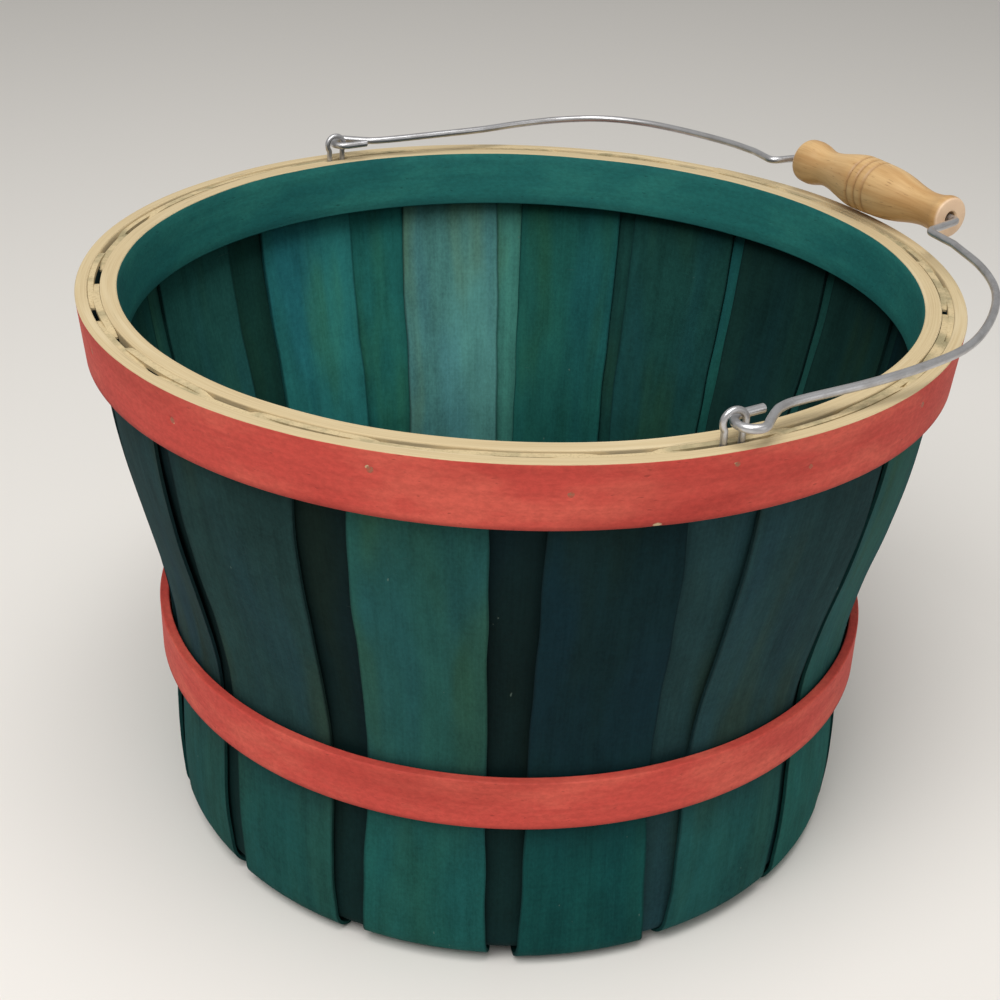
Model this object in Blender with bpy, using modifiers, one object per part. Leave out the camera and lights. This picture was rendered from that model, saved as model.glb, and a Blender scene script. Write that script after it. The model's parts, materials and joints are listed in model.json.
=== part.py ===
"""Splint basket with a wire bail and a turned grip, made of separate named parts.

Run with: blender --background --python part.py
Sizes below are in millimetres and angles in degrees; MM scales them to metres.
The basket stands on z = 0. Its front is -Y, and azimuths run from the front towards +X.
"""
import math

import bmesh
import bpy
from mathutils import Vector

MM = 0.001

# Overall sizes
RIM_RADIUS = 137.0
HEIGHT = 184.0
HOOP_SLOPE = 1.5 / 17.5

# Rim sandwich, from outside to inside, with the gap between neighbours
TOP_HOOP_HEIGHT = 19.7
OUTER_HOOP_THICKNESS = 3.9
RIM_GAP = 0.5
SPLINT = 1.0
INNER_HOOP_THICKNESS = 5.1
HOOP_EDGE = 0.6
HOOP_SIDES = 60

# Middle hoop
MID_HOOP_MIDDLE = 65.2
MID_HOOP_HEIGHT = 16.8
MID_HOOP_INNER = 116.4
MID_HOOP_THICKNESS = 3.2

# Wall: the swell below the middle hoop as (share of the height below it, share of the radius),
# and the flare above it as (share of the height up to the rim hoop, share of the way out)
BEND_RADIUS = 8.0
BELLY = [(0.39, 0.0043), (0.60, 0.0035), (0.81, 0.0)]
FLARE = [(0.11, 0.04), (0.30, 0.23), (0.50, 0.51), (0.75, 0.81)]
HOOP_BITE = 0.2

# The splints cross at the base, one level each, and fan out to four levels at its edge
LEVEL_GAP = 0.2
CROSSING_RADIUS = 60.0
FAN_MARGIN = 8.0
FAN_STEPS = 4
SPLINT_CELLS = 3

# Arms of the splints: azimuth and angle spanned at the base, then at the rim.
# Arms k and k + 8 are the two ends of one splint.
OUTER_ARMS = [
    (-81.0, 18.8, -81.0, 17.7),
    (-57.4, 18.3, -58.0, 16.0),
    (-35.0, 18.7, -36.4, 21.0),
    (-11.2, 18.8, -10.6, 15.9),
    (13.0, 19.5, 11.9, 15.8),
    (37.1, 20.5, 41.0, 22.5),
    (59.3, 18.3, 61.6, 16.0),
    (80.5, 18.0, 80.5, 17.3),
    (100.7, 18.0, 100.7, 17.3),
    (120.9, 18.0, 120.9, 17.3),
    (141.0, 18.0, 141.0, 17.3),
    (161.5, 18.0, 161.5, 16.9),
    (182.5, 18.8, 182.5, 17.7),
    (206.5, 19.3, 206.5, 18.2),
    (232.4, 19.3, 232.4, 18.2),
    (255.5, 19.0, 255.5, 17.7),
]
INNER_ARMS = [
    (-69.2, 18.5, -69.2, 17.1),
    (-46.3, 18.5, -46.3, 17.1),
    (-23.0, 18.5, -23.0, 17.1),
    (0.8, 18.5, 0.8, 17.1),
    (24.2, 18.5, 24.2, 16.8),
    (49.5, 18.5, 49.5, 17.1),
    (70.2, 18.3, 70.2, 16.6),
    (90.6, 18.3, 90.6, 16.6),
    (110.8, 18.3, 110.8, 16.6),
    (130.5, 18.0, 130.5, 17.9),
    (151.0, 18.3, 151.0, 18.8),
    (171.6, 18.5, 171.6, 17.4),
    (193.0, 18.5, 193.0, 16.8),
    (220.0, 18.8, 220.0, 17.0),
    (245.3, 19.0, 245.3, 18.2),
    (267.3, 18.5, 267.3, 17.1),
]

# Nails, with the clearance of every hole and groove
CLEARANCE = 0.3
CUT_ABOVE = 3.0
NAIL_SIDES = 6
NAIL_SHANK = 0.75
NAIL_HEAD = 1.6
NAIL_HEAD_HEIGHT = 0.5
NAIL_POINT = 1.2
RIM_NAIL_SUNK = 0.3
RIM_NAIL_BITE = 2.2
MID_NAIL_BITE = 1.8
# Nails through the rim: azimuth and depth below the top edge as a share of the hoop's height.
# The sixth and the sixteenth pass between the legs of an ear.
RIM_NAILS = [
    (-86.5, 0.41), (-62.5, 0.36), (-41.5, 0.45), (-15.0, 0.30), (6.0, 0.45), (24.0, 0.21),
    (34.0, 0.51), (54.8, 0.36), (75.0, 0.45), (95.2, 0.33), (115.4, 0.44), (135.5, 0.36),
    (156.0, 0.45), (177.0, 0.38), (195.5, 0.44), (213.4, 0.21), (233.0, 0.33), (253.0, 0.41),
]
# Azimuths of the nails from inside through the splints into the middle hoop
MID_NAILS = [-52.6, -5.5, 43.2, 84.3, 124.2, 165.3, 213.7, 261.0]

# Tack through the crossing of the splints, its place as shares of the crossing's radius
TACK_AT = (0.075, 0.017)
TACK_SHANK = 1.2
TACK_HEAD = 4.0
TACK_HEAD_HEIGHT = 1.3
TACK_SIDES = 12

# Ears: their azimuths, the rings' height above the rim, and their legs down into it
EAR_FRONT_AZIMUTH = 24.1
EAR_BACK_AZIMUTH = 213.4
HINGE_RISE = 5.5
EAR_WIRE = 0.95
EAR_PLAY = 1.1
EAR_LEG_SPREAD = 2.6
EAR_LEG_DEPTH = 13.0
EAR_STEPS = 14

# Bail wire. Each end is an open hook, a half circle through the ear's centre with a straight
# tail. The neck's points are distances from the ear, along the hinge and out from it.
BAIL_WIRE = 1.25
HOOK_RADIUS = 4.6
HOOK_SHIFT = 1.6
HOOK_TAIL = (-3.2, 11.0)
HOOK_STEPS = 8
NECK = [(5.5, 6.0), (2.6, 9.3), (0.1, 12.4), (-1.6, 15.3)]
# Arches as shares of half the hinge's length: along the hinge, then out from it
ARCH_FRONT = [
    (0.979, 0.169), (0.979, 0.339), (0.965, 0.492), (0.930, 0.635), (0.845, 0.773),
    (0.726, 0.898), (0.592, 0.978), (0.436, 1.028),
]
ARCH_BACK = [
    (0.975, 0.190), (0.961, 0.321), (0.949, 0.442), (0.950, 0.572), (0.934, 0.703),
    (0.883, 0.824), (0.786, 0.911), (0.656, 0.972), (0.515, 1.018), (0.405, 1.036),
]
ARCH_STEPS = 2
SHOULDER_FRONT = (3.5, -15.0)
SHOULDER_BACK = (-2.2, -12.0)
SHOULDER_BEND = 2.8
GRIP_BEND = 2.2

# Grip on the bail: it lies just above the rim when the bail is folded.
# Its centre is in shares of half the hinge's length, as the arches are.
GRIP_CENTRE = (0.0069, 1.1365)
GRIP_TILT = 2.75
GRIP_HALF = 36.5
GRIP_RADIUS = 9.4
GRIP_PLAY = 0.85
GRIP_REST_GAP = 0.57
GRIP_SIDES = 24
WIRE_PAST_GRIP = 3.0
# Grip profile as shares of its half length and radius, with incised rings near the middle
GRIP_PROFILE = [
    (1.0, 0.69), (0.985, 0.75), (0.94, 0.76), (0.84, 0.66), (0.72, 0.62), (0.61, 0.66),
    (0.50, 0.74), (0.39, 0.84), (0.27, 0.92), (0.16, 0.96), (0.085, 0.98), (0.06, 0.94),
    (0.035, 0.985), (-0.015, 0.99), (-0.04, 0.945), (-0.065, 0.99), (-0.115, 1.0), (-0.14, 0.955),
    (-0.165, 1.0), (-0.22, 0.985), (-0.31, 0.92), (-0.42, 0.82), (-0.53, 0.72), (-0.64, 0.67),
    (-0.72, 0.70), (-0.81, 0.79), (-0.88, 0.83), (-0.94, 0.82), (-0.985, 0.73), (-1.0, 0.62),
]

# Sizes that follow from those above
WALL_OUTER = RIM_RADIUS - OUTER_HOOP_THICKNESS - RIM_GAP
TOP_HOOP_LOW = HEIGHT - TOP_HOOP_HEIGHT
MID_HOOP_TOP = MID_HOOP_MIDDLE + 0.5 * MID_HOOP_HEIGHT
MID_HOOP_BOTTOM = MID_HOOP_MIDDLE - 0.5 * MID_HOOP_HEIGHT
WAIST = MID_HOOP_INNER - RIM_GAP
FLAT_RADIUS = WAIST - BEND_RADIUS
INNER_INSET = SPLINT + RIM_GAP
LEVEL = SPLINT + LEVEL_GAP
FAN_RADIUS = FLAT_RADIUS - FAN_MARGIN
PILE_TOP = 15 * LEVEL + SPLINT
HOLE = NAIL_SHANK + CLEARANCE
HINGE_HEIGHT = HEIGHT + HINGE_RISE
EAR_RING = BAIL_WIRE + EAR_PLAY + EAR_WIRE
EAR_FRONT = WALL_OUTER - INNER_INSET + CLEARANCE + EAR_WIRE
EAR_BACK = WALL_OUTER - INNER_INSET - SPLINT - CLEARANCE - EAR_WIRE
GRIP_BORE = BAIL_WIRE + GRIP_PLAY
FOLD_RISE = GRIP_REST_GAP + GRIP_RADIUS - HINGE_RISE

COLOURS = {
    "splint_teal": ((0.020, 0.125, 0.120), 0.62, 0.0),
    "splint_navy": ((0.012, 0.050, 0.072), 0.62, 0.0),
    "splint_grey_green": ((0.026, 0.065, 0.062), 0.62, 0.0),
    "splint_dark": ((0.008, 0.030, 0.030), 0.65, 0.0),
    "splint_bright": ((0.030, 0.170, 0.150), 0.60, 0.0),
    "hoop_red": ((0.530, 0.060, 0.045), 0.60, 0.0),
    "hoop_teal": ((0.012, 0.120, 0.100), 0.60, 0.0),
    "wire_galvanised": ((0.420, 0.410, 0.400), 0.35, 1.0),
    "grip_wood": ((0.560, 0.360, 0.170), 0.55, 0.0),
    "nail_steel": ((0.500, 0.420, 0.300), 0.45, 1.0),
}
OUTER_TINTS = ["splint_navy", "splint_grey_green", "splint_grey_green", "splint_teal",
               "splint_navy", "splint_grey_green", "splint_teal", "splint_navy"]
INNER_TINTS = ["splint_dark", "splint_dark", "splint_dark", "splint_dark",
               "splint_bright", "splint_teal", "splint_navy", "splint_dark"]


def mix(a, b, t):
    return a + (b - a) * t


def smoothstep(t):
    t = min(max(t, 0.0), 1.0)
    return t * t * (3.0 - 2.0 * t)


def radial(azimuth):
    """Unit vector pointing out from the axis at an azimuth in degrees."""
    a = math.radians(azimuth)
    return Vector((math.sin(a), -math.cos(a), 0.0))


def smooth_value(points, at):
    """Catmull-Rom value at one abscissa of a list of (abscissa, value) points."""
    last = len(points) - 1
    k = 0
    while k < last - 1 and points[k + 1][0] <= at:
        k += 1
    x0, y0 = points[max(k - 1, 0)]
    x1, y1 = points[k]
    x2, y2 = points[k + 1]
    x3, y3 = points[min(k + 2, last)]
    m1 = (y2 - y0) / (x2 - x0)
    m2 = (y3 - y1) / (x3 - x1)
    h = x2 - x1
    t = (at - x1) / h
    a = (2 * t ** 3 - 3 * t ** 2 + 1) * y1 + (t ** 3 - 2 * t ** 2 + t) * h * m1
    b = (3 * t ** 2 - 2 * t ** 3) * y2 + (t ** 3 - t ** 2) * h * m2
    return a + b


def wall_radius(height):
    """Outer radius of the outer splints at a height."""
    under_rim = WALL_OUTER - TOP_HOOP_HEIGHT * HOOP_SLOPE
    points = [(BEND_RADIUS, WAIST)]
    for share, swell in BELLY:
        points.append((MID_HOOP_BOTTOM * share, WAIST * (1.0 + swell)))
    points.append((MID_HOOP_BOTTOM, WAIST - HOOP_BITE))
    points.append((MID_HOOP_TOP, WAIST))
    for share, way in FLARE:
        points.append((mix(MID_HOOP_TOP, TOP_HOOP_LOW, share), mix(WAIST, under_rim, way)))
    points.append((TOP_HOOP_LOW, under_rim))
    points.append((HEIGHT, WALL_OUTER))
    return smooth_value(points, height)


def wall_rows():
    """Heights at which a splint's wall has a row of points."""
    rows = [0.42 * MID_HOOP_BOTTOM, MID_HOOP_BOTTOM, MID_HOOP_TOP]
    rows += [mix(MID_HOOP_TOP, TOP_HOOP_LOW, k / 3) for k in (1, 2)]
    return rows + [TOP_HOOP_LOW, HEIGHT]


def clear_scene():
    for item in list(bpy.data.objects):
        bpy.data.objects.remove(item, do_unlink=True)


def new_collection(name, parent):
    made = bpy.data.collections.new(name)
    parent.children.link(made)
    return made


def make_material(slot):
    """Principled material of a slot, made once and shared by its parts."""
    made = bpy.data.materials.get(slot)
    if made:
        return made
    colour, roughness, metallic = COLOURS[slot]
    made = bpy.data.materials.new(slot)
    made.use_nodes = True
    shader = made.node_tree.nodes["Principled BSDF"]
    shader.inputs["Base Color"].default_value = (*colour, 1.0)
    shader.inputs["Roughness"].default_value = roughness
    shader.inputs["Metallic"].default_value = metallic
    made.diffuse_color = (*colour, 1.0)
    return made


def new_object(name, data, collection, slot=None):
    """Object with its data and material; one without a slot is a cutter."""
    made = bpy.data.objects.new(name, data)
    collection.objects.link(made)
    if slot:
        data.materials.append(make_material(slot))
    else:
        made.hide_render = True
        made.display_type = "WIRE"
    return made


def turned(name, profile, sides, collection, slot=None):
    """Profile of (radius, height) turned about Z. It runs down its outer side.

    A profile that starts on the axis ends on it too, and any other is closed on itself.
    """
    count = len(profile)
    edges = [(k, k + 1) for k in range(count - 1)]
    if profile[0][0] > 0.0:
        edges.append((count - 1, 0))
    mesh = bpy.data.meshes.new(name)
    mesh.from_pydata([(r * MM, 0.0, z * MM) for r, z in profile], edges, [])
    made = new_object(name, mesh, collection, slot)
    screw = made.modifiers.new("turn", "SCREW")
    screw.steps = sides
    screw.render_steps = sides
    screw.use_merge_vertices = True
    screw.merge_threshold = 0.00001
    screw.use_smooth_shade = True
    return made


def put(item, at, axis):
    """Moves a turned object to a place in millimetres, with its Z along an axis."""
    item.location = Vector(at) * MM
    item.rotation_euler = Vector(axis).to_track_quat("Z", "Y").to_euler()


def box(name, size, collection):
    """Box of a size in millimetres, centred on its own origin."""
    mesh = bpy.data.meshes.new(name)
    bm = bmesh.new()
    bmesh.ops.create_cube(bm, size=1.0)
    bmesh.ops.scale(bm, vec=Vector(size) * MM, verts=bm.verts)
    bm.to_mesh(mesh)
    bm.free()
    return new_object(name, mesh, collection)


def wire(name, path, radius, collection, slot):
    """Round wire along a path in millimetres: a bevelled curve with closed ends."""
    curve = bpy.data.curves.new(name, "CURVE")
    curve.dimensions = "3D"
    curve.bevel_depth = radius * MM
    curve.bevel_resolution = 1
    curve.use_fill_caps = True
    line = curve.splines.new("POLY")
    line.points.add(len(path) - 1)
    for point, at in zip(line.points, path):
        point.co = (*(Vector(at) * MM), 1.0)
    line.use_smooth = True
    return new_object(name, curve, collection, slot)


def cut(target, holes):
    """Cuts every object of a collection of cutters out of a part."""
    tool = target.modifiers.new("cut " + holes.name, "BOOLEAN")
    tool.operation = "DIFFERENCE"
    tool.solver = "EXACT"
    tool.operand_type = "COLLECTION"
    tool.collection = holes


def base_level(x, y, edge_level, crossing_level):
    """Underside height of a splint on the base: it steps down from the crossing to the edge."""
    lift = smoothstep((FAN_RADIUS - math.hypot(x, y)) / (FAN_RADIUS - CROSSING_RADIUS))
    return LEVEL * mix(edge_level, crossing_level, lift)


def base_row(radius, arm, sign, offset, along, bend):
    """Points of a straight splint where it crosses a circle on the base."""
    across = Vector((-along.y, along.x, 0.0))
    width = math.radians(arm[1]) * (FLAT_RADIUS + bend)
    row = []
    for i in range(SPLINT_CELLS + 1):
        v = offset + width * (i / SPLINT_CELLS - 0.5)
        row.append(along * sign * math.sqrt(radius * radius - v * v) + across * v)
    return row


def wall_row(arm, sign, foot, blend, height):
    """Unit vectors across an arm at a height, turned from the base's straight edges to its own."""
    t = height / HEIGHT
    centre = mix(arm[0], arm[2], t)
    span = mix(arm[1], arm[3], t)
    row = []
    for i, point in enumerate(foot):
        free = centre + sign * span * (i / SPLINT_CELLS - 0.5)
        start = math.degrees(math.atan2(point.x, -point.y))
        start += 360.0 * round((centre - start) / 360.0)
        row.append(radial(mix(start, free, blend)))
    return row


def arm_rows(arm, sign, offset, along, inset, edge_level, crossing_level):
    """Rows of (underside, upper side) points: crossing, base's edge, bend and wall."""
    bend = BEND_RADIUS - inset
    bend_height = LEVEL * edge_level + bend
    rows = []
    for k in range(FAN_STEPS + 2):
        radius = mix(CROSSING_RADIUS, FAN_RADIUS, k / FAN_STEPS) if k <= FAN_STEPS else FLAT_RADIUS
        foot = base_row(radius, arm, sign, offset, along, bend)
        row = []
        for p in foot:
            low = base_level(p.x, p.y, edge_level, crossing_level)
            row.append((p + Vector((0.0, 0.0, low)), p + Vector((0.0, 0.0, low + SPLINT))))
        rows.append(row)
    for k in (1, 2, 3):
        a = math.radians(30.0 * k)
        sides = []
        for reach in (bend, bend - SPLINT):
            sides.append((FLAT_RADIUS + reach * math.sin(a), bend_height - reach * math.cos(a)))
        outs = wall_row(arm, sign, foot, 0.25 * k, sides[0][1])
        rows.append([tuple(out * r + Vector((0.0, 0.0, z)) for r, z in sides) for out in outs])
    for height in wall_rows():
        radius = wall_radius(height) - inset
        rise = Vector((0.0, 0.0, height))
        outs = wall_row(arm, sign, foot, 1.0, height)
        rows.append([(out * radius + rise, out * (radius - SPLINT) + rise) for out in outs])
    return rows


def splint(name, arms, inset, edge_level, crossing_level, collection, slot):
    """One splint from rim to rim: down the wall, across the base and up the other wall.

    It is a loft of unlike rows, because the veneers are stacked upwards on the base
    and inwards on the wall. Each row holds the veneer's two faces.
    """
    end_a = radial(arms[0][0]) * FLAT_RADIUS
    end_b = radial(arms[1][0]) * FLAT_RADIUS
    along = (end_a - end_b).normalized()
    offset = end_a.dot(Vector((-along.y, along.x, 0.0)))
    rows = arm_rows(arms[1], -1, offset, along, inset, edge_level, crossing_level)[::-1]
    rows += arm_rows(arms[0], 1, offset, along, inset, edge_level, crossing_level)
    bm = bmesh.new()
    grid = [[(bm.verts.new(a * MM), bm.verts.new(b * MM)) for a, b in row] for row in rows]
    for this, following in zip(grid, grid[1:]):
        for i in range(SPLINT_CELLS):
            for face in (0, 1):
                bm.faces.new((this[i][face], this[i + 1][face], following[i + 1][face], following[i][face]))
        for i in (0, SPLINT_CELLS):
            bm.faces.new((this[i][0], following[i][0], following[i][1], this[i][1]))
    for row in (grid[0], grid[-1]):
        for i in range(SPLINT_CELLS):
            bm.faces.new((row[i][0], row[i][1], row[i + 1][1], row[i + 1][0]))
    bmesh.ops.recalc_face_normals(bm, faces=bm.faces)
    mesh = bpy.data.meshes.new(name)
    bm.to_mesh(mesh)
    bm.free()
    return new_object(name, mesh, collection, slot)


def build_splints(parts):
    """Sixteen splints; of each layer, every second one lies one level up at the base's edge."""
    made = []
    layers = [("splint_outer_%d", OUTER_ARMS, OUTER_TINTS, 0.0),
              ("splint_inner_%d", INNER_ARMS, INNER_TINTS, INNER_INSET)]
    for layer, (name, arms, tints, inset) in enumerate(layers):
        for k in range(8):
            edge = 2 * layer + k % 2
            made.append(splint(name % (k + 1), (arms[k], arms[k + 8]), inset,
                               edge, 4 * edge + k // 2, parts, tints[k]))
    return made


def hoop(name, inner, outer, top, bottom, slope, parts, slot):
    """Flat hoop with eased edges and sides that lean out by a slope; radii are at its top."""
    fall = (top - bottom) * slope
    profile = [
        (outer - HOOP_EDGE, top), (outer, top - HOOP_EDGE),
        (outer - fall, bottom + HOOP_EDGE), (outer - fall - HOOP_EDGE, bottom),
        (inner - fall, bottom), (inner, top),
    ]
    return turned(name, profile, HOOP_SIDES, parts, slot)


def build_hoops(parts):
    outer = hoop("hoop_rim_outer", RIM_RADIUS - OUTER_HOOP_THICKNESS, RIM_RADIUS,
                 HEIGHT, TOP_HOOP_LOW, HOOP_SLOPE, parts, "hoop_red")
    edge = WALL_OUTER - INNER_INSET - SPLINT - RIM_GAP
    inner = hoop("hoop_rim_inner", edge - INNER_HOOP_THICKNESS, edge,
                 HEIGHT, TOP_HOOP_LOW, HOOP_SLOPE, parts, "hoop_teal")
    middle = hoop("hoop_middle", MID_HOOP_INNER, MID_HOOP_INNER + MID_HOOP_THICKNESS,
                  MID_HOOP_TOP, MID_HOOP_BOTTOM, 0.0, parts, "hoop_red")
    return outer, inner, middle


def nail(name, at, out, length, parts):
    """Nail from the underside of its head at a place, driven against an outward direction."""
    profile = [
        (0.0, NAIL_HEAD_HEIGHT), (NAIL_HEAD, 0.7 * NAIL_HEAD_HEIGHT), (NAIL_HEAD, 0.0),
        (NAIL_SHANK, 0.0), (NAIL_SHANK, NAIL_POINT - length), (0.0, -length),
    ]
    put(turned(name, profile, NAIL_SIDES, parts, "nail_steel"), at, out)


def nail_hole(name, at, out, length, sunk, holes):
    """Cutter for a nail's shank, with a wider mouth for a head that is sunk."""
    wide = NAIL_HEAD + CLEARANCE if sunk else HOLE
    profile = [
        (0.0, CUT_ABOVE), (wide, CUT_ABOVE), (wide, -CLEARANCE), (HOLE, -1.03 * CLEARANCE),
        (HOLE, -length - CLEARANCE), (0.0, -length - CLEARANCE),
    ]
    put(turned(name, profile, NAIL_SIDES, holes), at, out)


def build_rim_nails(parts, cutters):
    """Nails from outside through the outer hoop and both layers into the inner hoop."""
    holes = new_collection("cut_rim_nails", cutters)
    length = OUTER_HOOP_THICKNESS + INNER_INSET + SPLINT + 2 * RIM_GAP + RIM_NAIL_BITE
    for k, (azimuth, share) in enumerate(RIM_NAILS):
        out = radial(azimuth)
        depth = share * TOP_HOOP_HEIGHT
        seat = RIM_RADIUS - depth * HOOP_SLOPE - RIM_NAIL_SUNK - NAIL_HEAD_HEIGHT
        at = out * seat + Vector((0.0, 0.0, HEIGHT - depth))
        nail("nail_rim_%02d" % (k + 1), at, out, length, parts)
        nail_hole("hole_rim_%02d" % (k + 1), at, out, length, True, holes)
    return holes


def build_mid_nails(parts, cutters):
    """Nails from inside through both layers into the middle hoop."""
    holes = new_collection("cut_middle_nails", cutters)
    face = 0.5 * (wall_radius(MID_HOOP_TOP) + wall_radius(MID_HOOP_BOTTOM)) - INNER_INSET - SPLINT
    length = MID_HOOP_INNER - face + MID_NAIL_BITE
    for k, azimuth in enumerate(MID_NAILS):
        out = radial(azimuth)
        at = out * (face - CLEARANCE) + Vector((0.0, 0.0, MID_HOOP_MIDDLE))
        nail("nail_middle_%d" % (k + 1), at, -out, length, parts)
        nail_hole("hole_middle_%d" % (k + 1), at, -out, length, False, holes)
    return holes


def build_tack(parts, cutters):
    """Tack through the crossing, down into the lowest splint but one."""
    holes = new_collection("cut_tack", cutters)
    x, y = TACK_AT
    at = Vector((x * CROSSING_RADIUS, y * CROSSING_RADIUS, PILE_TOP + 0.4 * CLEARANCE))
    length = at.z - LEVEL - 0.5 * SPLINT
    head = [(0.0, TACK_HEAD_HEIGHT), (0.35 * TACK_HEAD, 0.9 * TACK_HEAD_HEIGHT),
            (0.8 * TACK_HEAD, 0.5 * TACK_HEAD_HEIGHT), (TACK_HEAD, 0.0)]
    shank = [(TACK_SHANK, 0.0), (TACK_SHANK, NAIL_POINT - length), (0.0, -length)]
    tack = turned("tack_crossing", head + shank, TACK_SIDES, parts, "nail_steel")
    tack.location = at * MM
    wide = TACK_SHANK + CLEARANCE
    deep = at.z - 0.5 * (LEVEL + SPLINT)
    profile = [(0.0, CUT_ABOVE), (wide, CUT_ABOVE), (wide, -deep), (0.0, -deep)]
    hole = turned("hole_tack", profile, TACK_SIDES, holes)
    hole.location = at * MM
    return holes


def rounded(points, radii, step=22.0):
    """Polyline with each inner corner rounded by its radius; a radius of 0 keeps the corner."""
    made = [Vector(points[0])]
    for k in range(1, len(points) - 1):
        here = Vector(points[k])
        back = (Vector(points[k - 1]) - here).normalized()
        on = (Vector(points[k + 1]) - here).normalized()
        turn = math.pi - back.angle(on)
        if radii[k] <= 0.0 or turn < 0.02:
            made.append(here)
            continue
        middle = here + (back + on).normalized() * (radii[k] / math.cos(turn / 2.0))
        reach = radii[k] * math.tan(turn / 2.0)
        first = here + back * reach - middle
        last = here + on * reach - middle
        steps = max(2, math.ceil(math.degrees(turn) / step))
        for i in range(steps + 1):
            w0 = math.sin((1.0 - i / steps) * turn) / math.sin(turn)
            w1 = math.sin(i / steps * turn) / math.sin(turn)
            made.append(middle + first * w0 + last * w1)
    made.append(Vector(points[-1]))
    return made


def through(points, steps):
    """Smooth run through a list of points, with a number of steps between neighbours."""
    made = []
    last = len(points) - 1
    for k in range(last):
        p1 = Vector(points[k])
        p2 = Vector(points[k + 1])
        p0 = Vector(points[k - 1]) if k else p1 * 2 - p2
        p3 = Vector(points[k + 2]) if k + 1 < last else p2 * 2 - p1
        for i in range(steps):
            t = i / steps
            made.append(0.5 * ((2 * p1) + (p2 - p0) * t + (2 * p0 - 5 * p1 + 4 * p2 - p3) * t ** 2
                               + (3 * p1 - p0 - 3 * p2 + p3) * t ** 3))
    made.append(Vector(points[-1]))
    return made


def build_ear(name, azimuth, distance, parts, cutters):
    """Wire ear: a ring on two legs in the rim, and the groove that they lie in.

    Its own X points out from the basket's axis. The legs lean with the hoops.
    """
    start = math.asin(EAR_LEG_SPREAD / EAR_RING)
    lean = -EAR_LEG_DEPTH * HOOP_SLOPE
    foot = -HINGE_RISE - EAR_LEG_DEPTH
    path = [(lean, -EAR_LEG_SPREAD, foot), (0.0, -EAR_LEG_SPREAD, -HINGE_RISE)]
    for i in range(EAR_STEPS + 1):
        a = -math.pi / 2 - start - (math.tau - 2 * start) * i / EAR_STEPS
        path.append((0.0, EAR_RING * math.cos(a), EAR_RING * math.sin(a)))
    path += [(0.0, EAR_LEG_SPREAD, -HINGE_RISE), (lean, EAR_LEG_SPREAD, foot)]
    radii = [0.0] * len(path)
    radii[2] = EAR_WIRE
    radii[-3] = EAR_WIRE
    ear = wire(name, rounded(path, radii), EAR_WIRE, parts, "wire_galvanised")
    turn = math.radians(azimuth - 90.0)
    ear.location = (radial(azimuth) * distance + Vector((0.0, 0.0, HINGE_HEIGHT))) * MM
    ear.rotation_euler = (0.0, 0.0, turn)

    holes = new_collection("cut_" + name, cutters)
    across = 2 * (EAR_WIRE + CLEARANCE)
    deep = EAR_LEG_DEPTH + 2 * CLEARANCE
    groove = box("groove_" + name, (across, across + 2 * EAR_LEG_SPREAD, deep + CUT_ABOVE), holes)
    middle = 0.5 * (CUT_ABOVE - deep)
    at = radial(azimuth) * (distance + middle * HOOP_SLOPE)
    groove.location = (at + Vector((0.0, 0.0, HEIGHT + middle))) * MM
    groove.rotation_euler = (0.0, math.atan(HOOP_SLOPE), turn)
    return holes


def hinge():
    """Line through both ears: its middle on the plan, half its length and its azimuth."""
    front = radial(EAR_FRONT_AZIMUTH) * EAR_FRONT
    back = radial(EAR_BACK_AZIMUTH) * EAR_BACK
    half = 0.5 * (front - back)
    return 0.5 * (front + back), half.length, math.degrees(math.atan2(half.x, -half.y))


def bail_side(side, reach, arch):
    """One side of the bail, from its tail to the shoulder's foot: (along the hinge, out from it)."""
    x, out = HOOK_TAIL
    made = [Vector((side * (reach + x), out))]
    centre = reach + HOOK_SHIFT
    rise = math.sqrt(HOOK_RADIUS ** 2 - HOOK_SHIFT ** 2)
    for i in range(HOOK_STEPS + 1):
        a = math.pi * i / HOOK_STEPS
        made.append(Vector((side * (centre - HOOK_RADIUS * math.cos(a)), rise - HOOK_RADIUS * math.sin(a))))
    run = [tuple(made[-1])]
    run += [(side * (reach + x), out) for x, out in NECK]
    run += [(side * reach * x, reach * out) for x, out in arch]
    return made[:-1] + through(run, ARCH_STEPS)


def build_bail(parts):
    """Bail wire in its own plane, X along the hinge and Y out; folded, it leans up to the grip.

    The grip's body is turned wood with a through bore, carried by the wire.
    """
    foot, reach, azimuth = hinge()
    tilt = math.radians(GRIP_TILT)
    centre = Vector(GRIP_CENTRE) * reach
    run = Vector((math.cos(tilt), math.sin(tilt))) * (GRIP_HALF + WIRE_PAST_GRIP)
    front = bail_side(1.0, reach, ARCH_FRONT)
    back = bail_side(-1.0, reach, ARCH_BACK)
    corners = [front[-1], centre + run + Vector(SHOULDER_FRONT), centre + run,
               centre - run, centre - run + Vector(SHOULDER_BACK), back[-1]]
    middle = rounded(corners, [0, SHOULDER_BEND, GRIP_BEND, GRIP_BEND, SHOULDER_BEND, 0])
    path = front[:-1] + middle + back[-2::-1]
    bail = wire("bail", [p.to_3d() for p in path], BAIL_WIRE, parts, "wire_galvanised")
    bail.location = (foot + Vector((0.0, 0.0, HINGE_HEIGHT))) * MM
    bail.rotation_euler = (math.asin(FOLD_RISE / centre.y), 0.0, math.radians(azimuth - 90.0))

    profile = [(GRIP_RADIUS * r, GRIP_HALF * x) for x, r in GRIP_PROFILE]
    profile += [(GRIP_BORE, -GRIP_HALF), (GRIP_BORE, GRIP_HALF)]
    grip = turned("grip", profile, GRIP_SIDES, parts, "grip_wood")
    grip.parent = bail
    grip.location = (centre.x * MM, centre.y * MM, 0.0)
    grip.rotation_euler = (0.0, math.radians(90.0), tilt)


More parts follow.
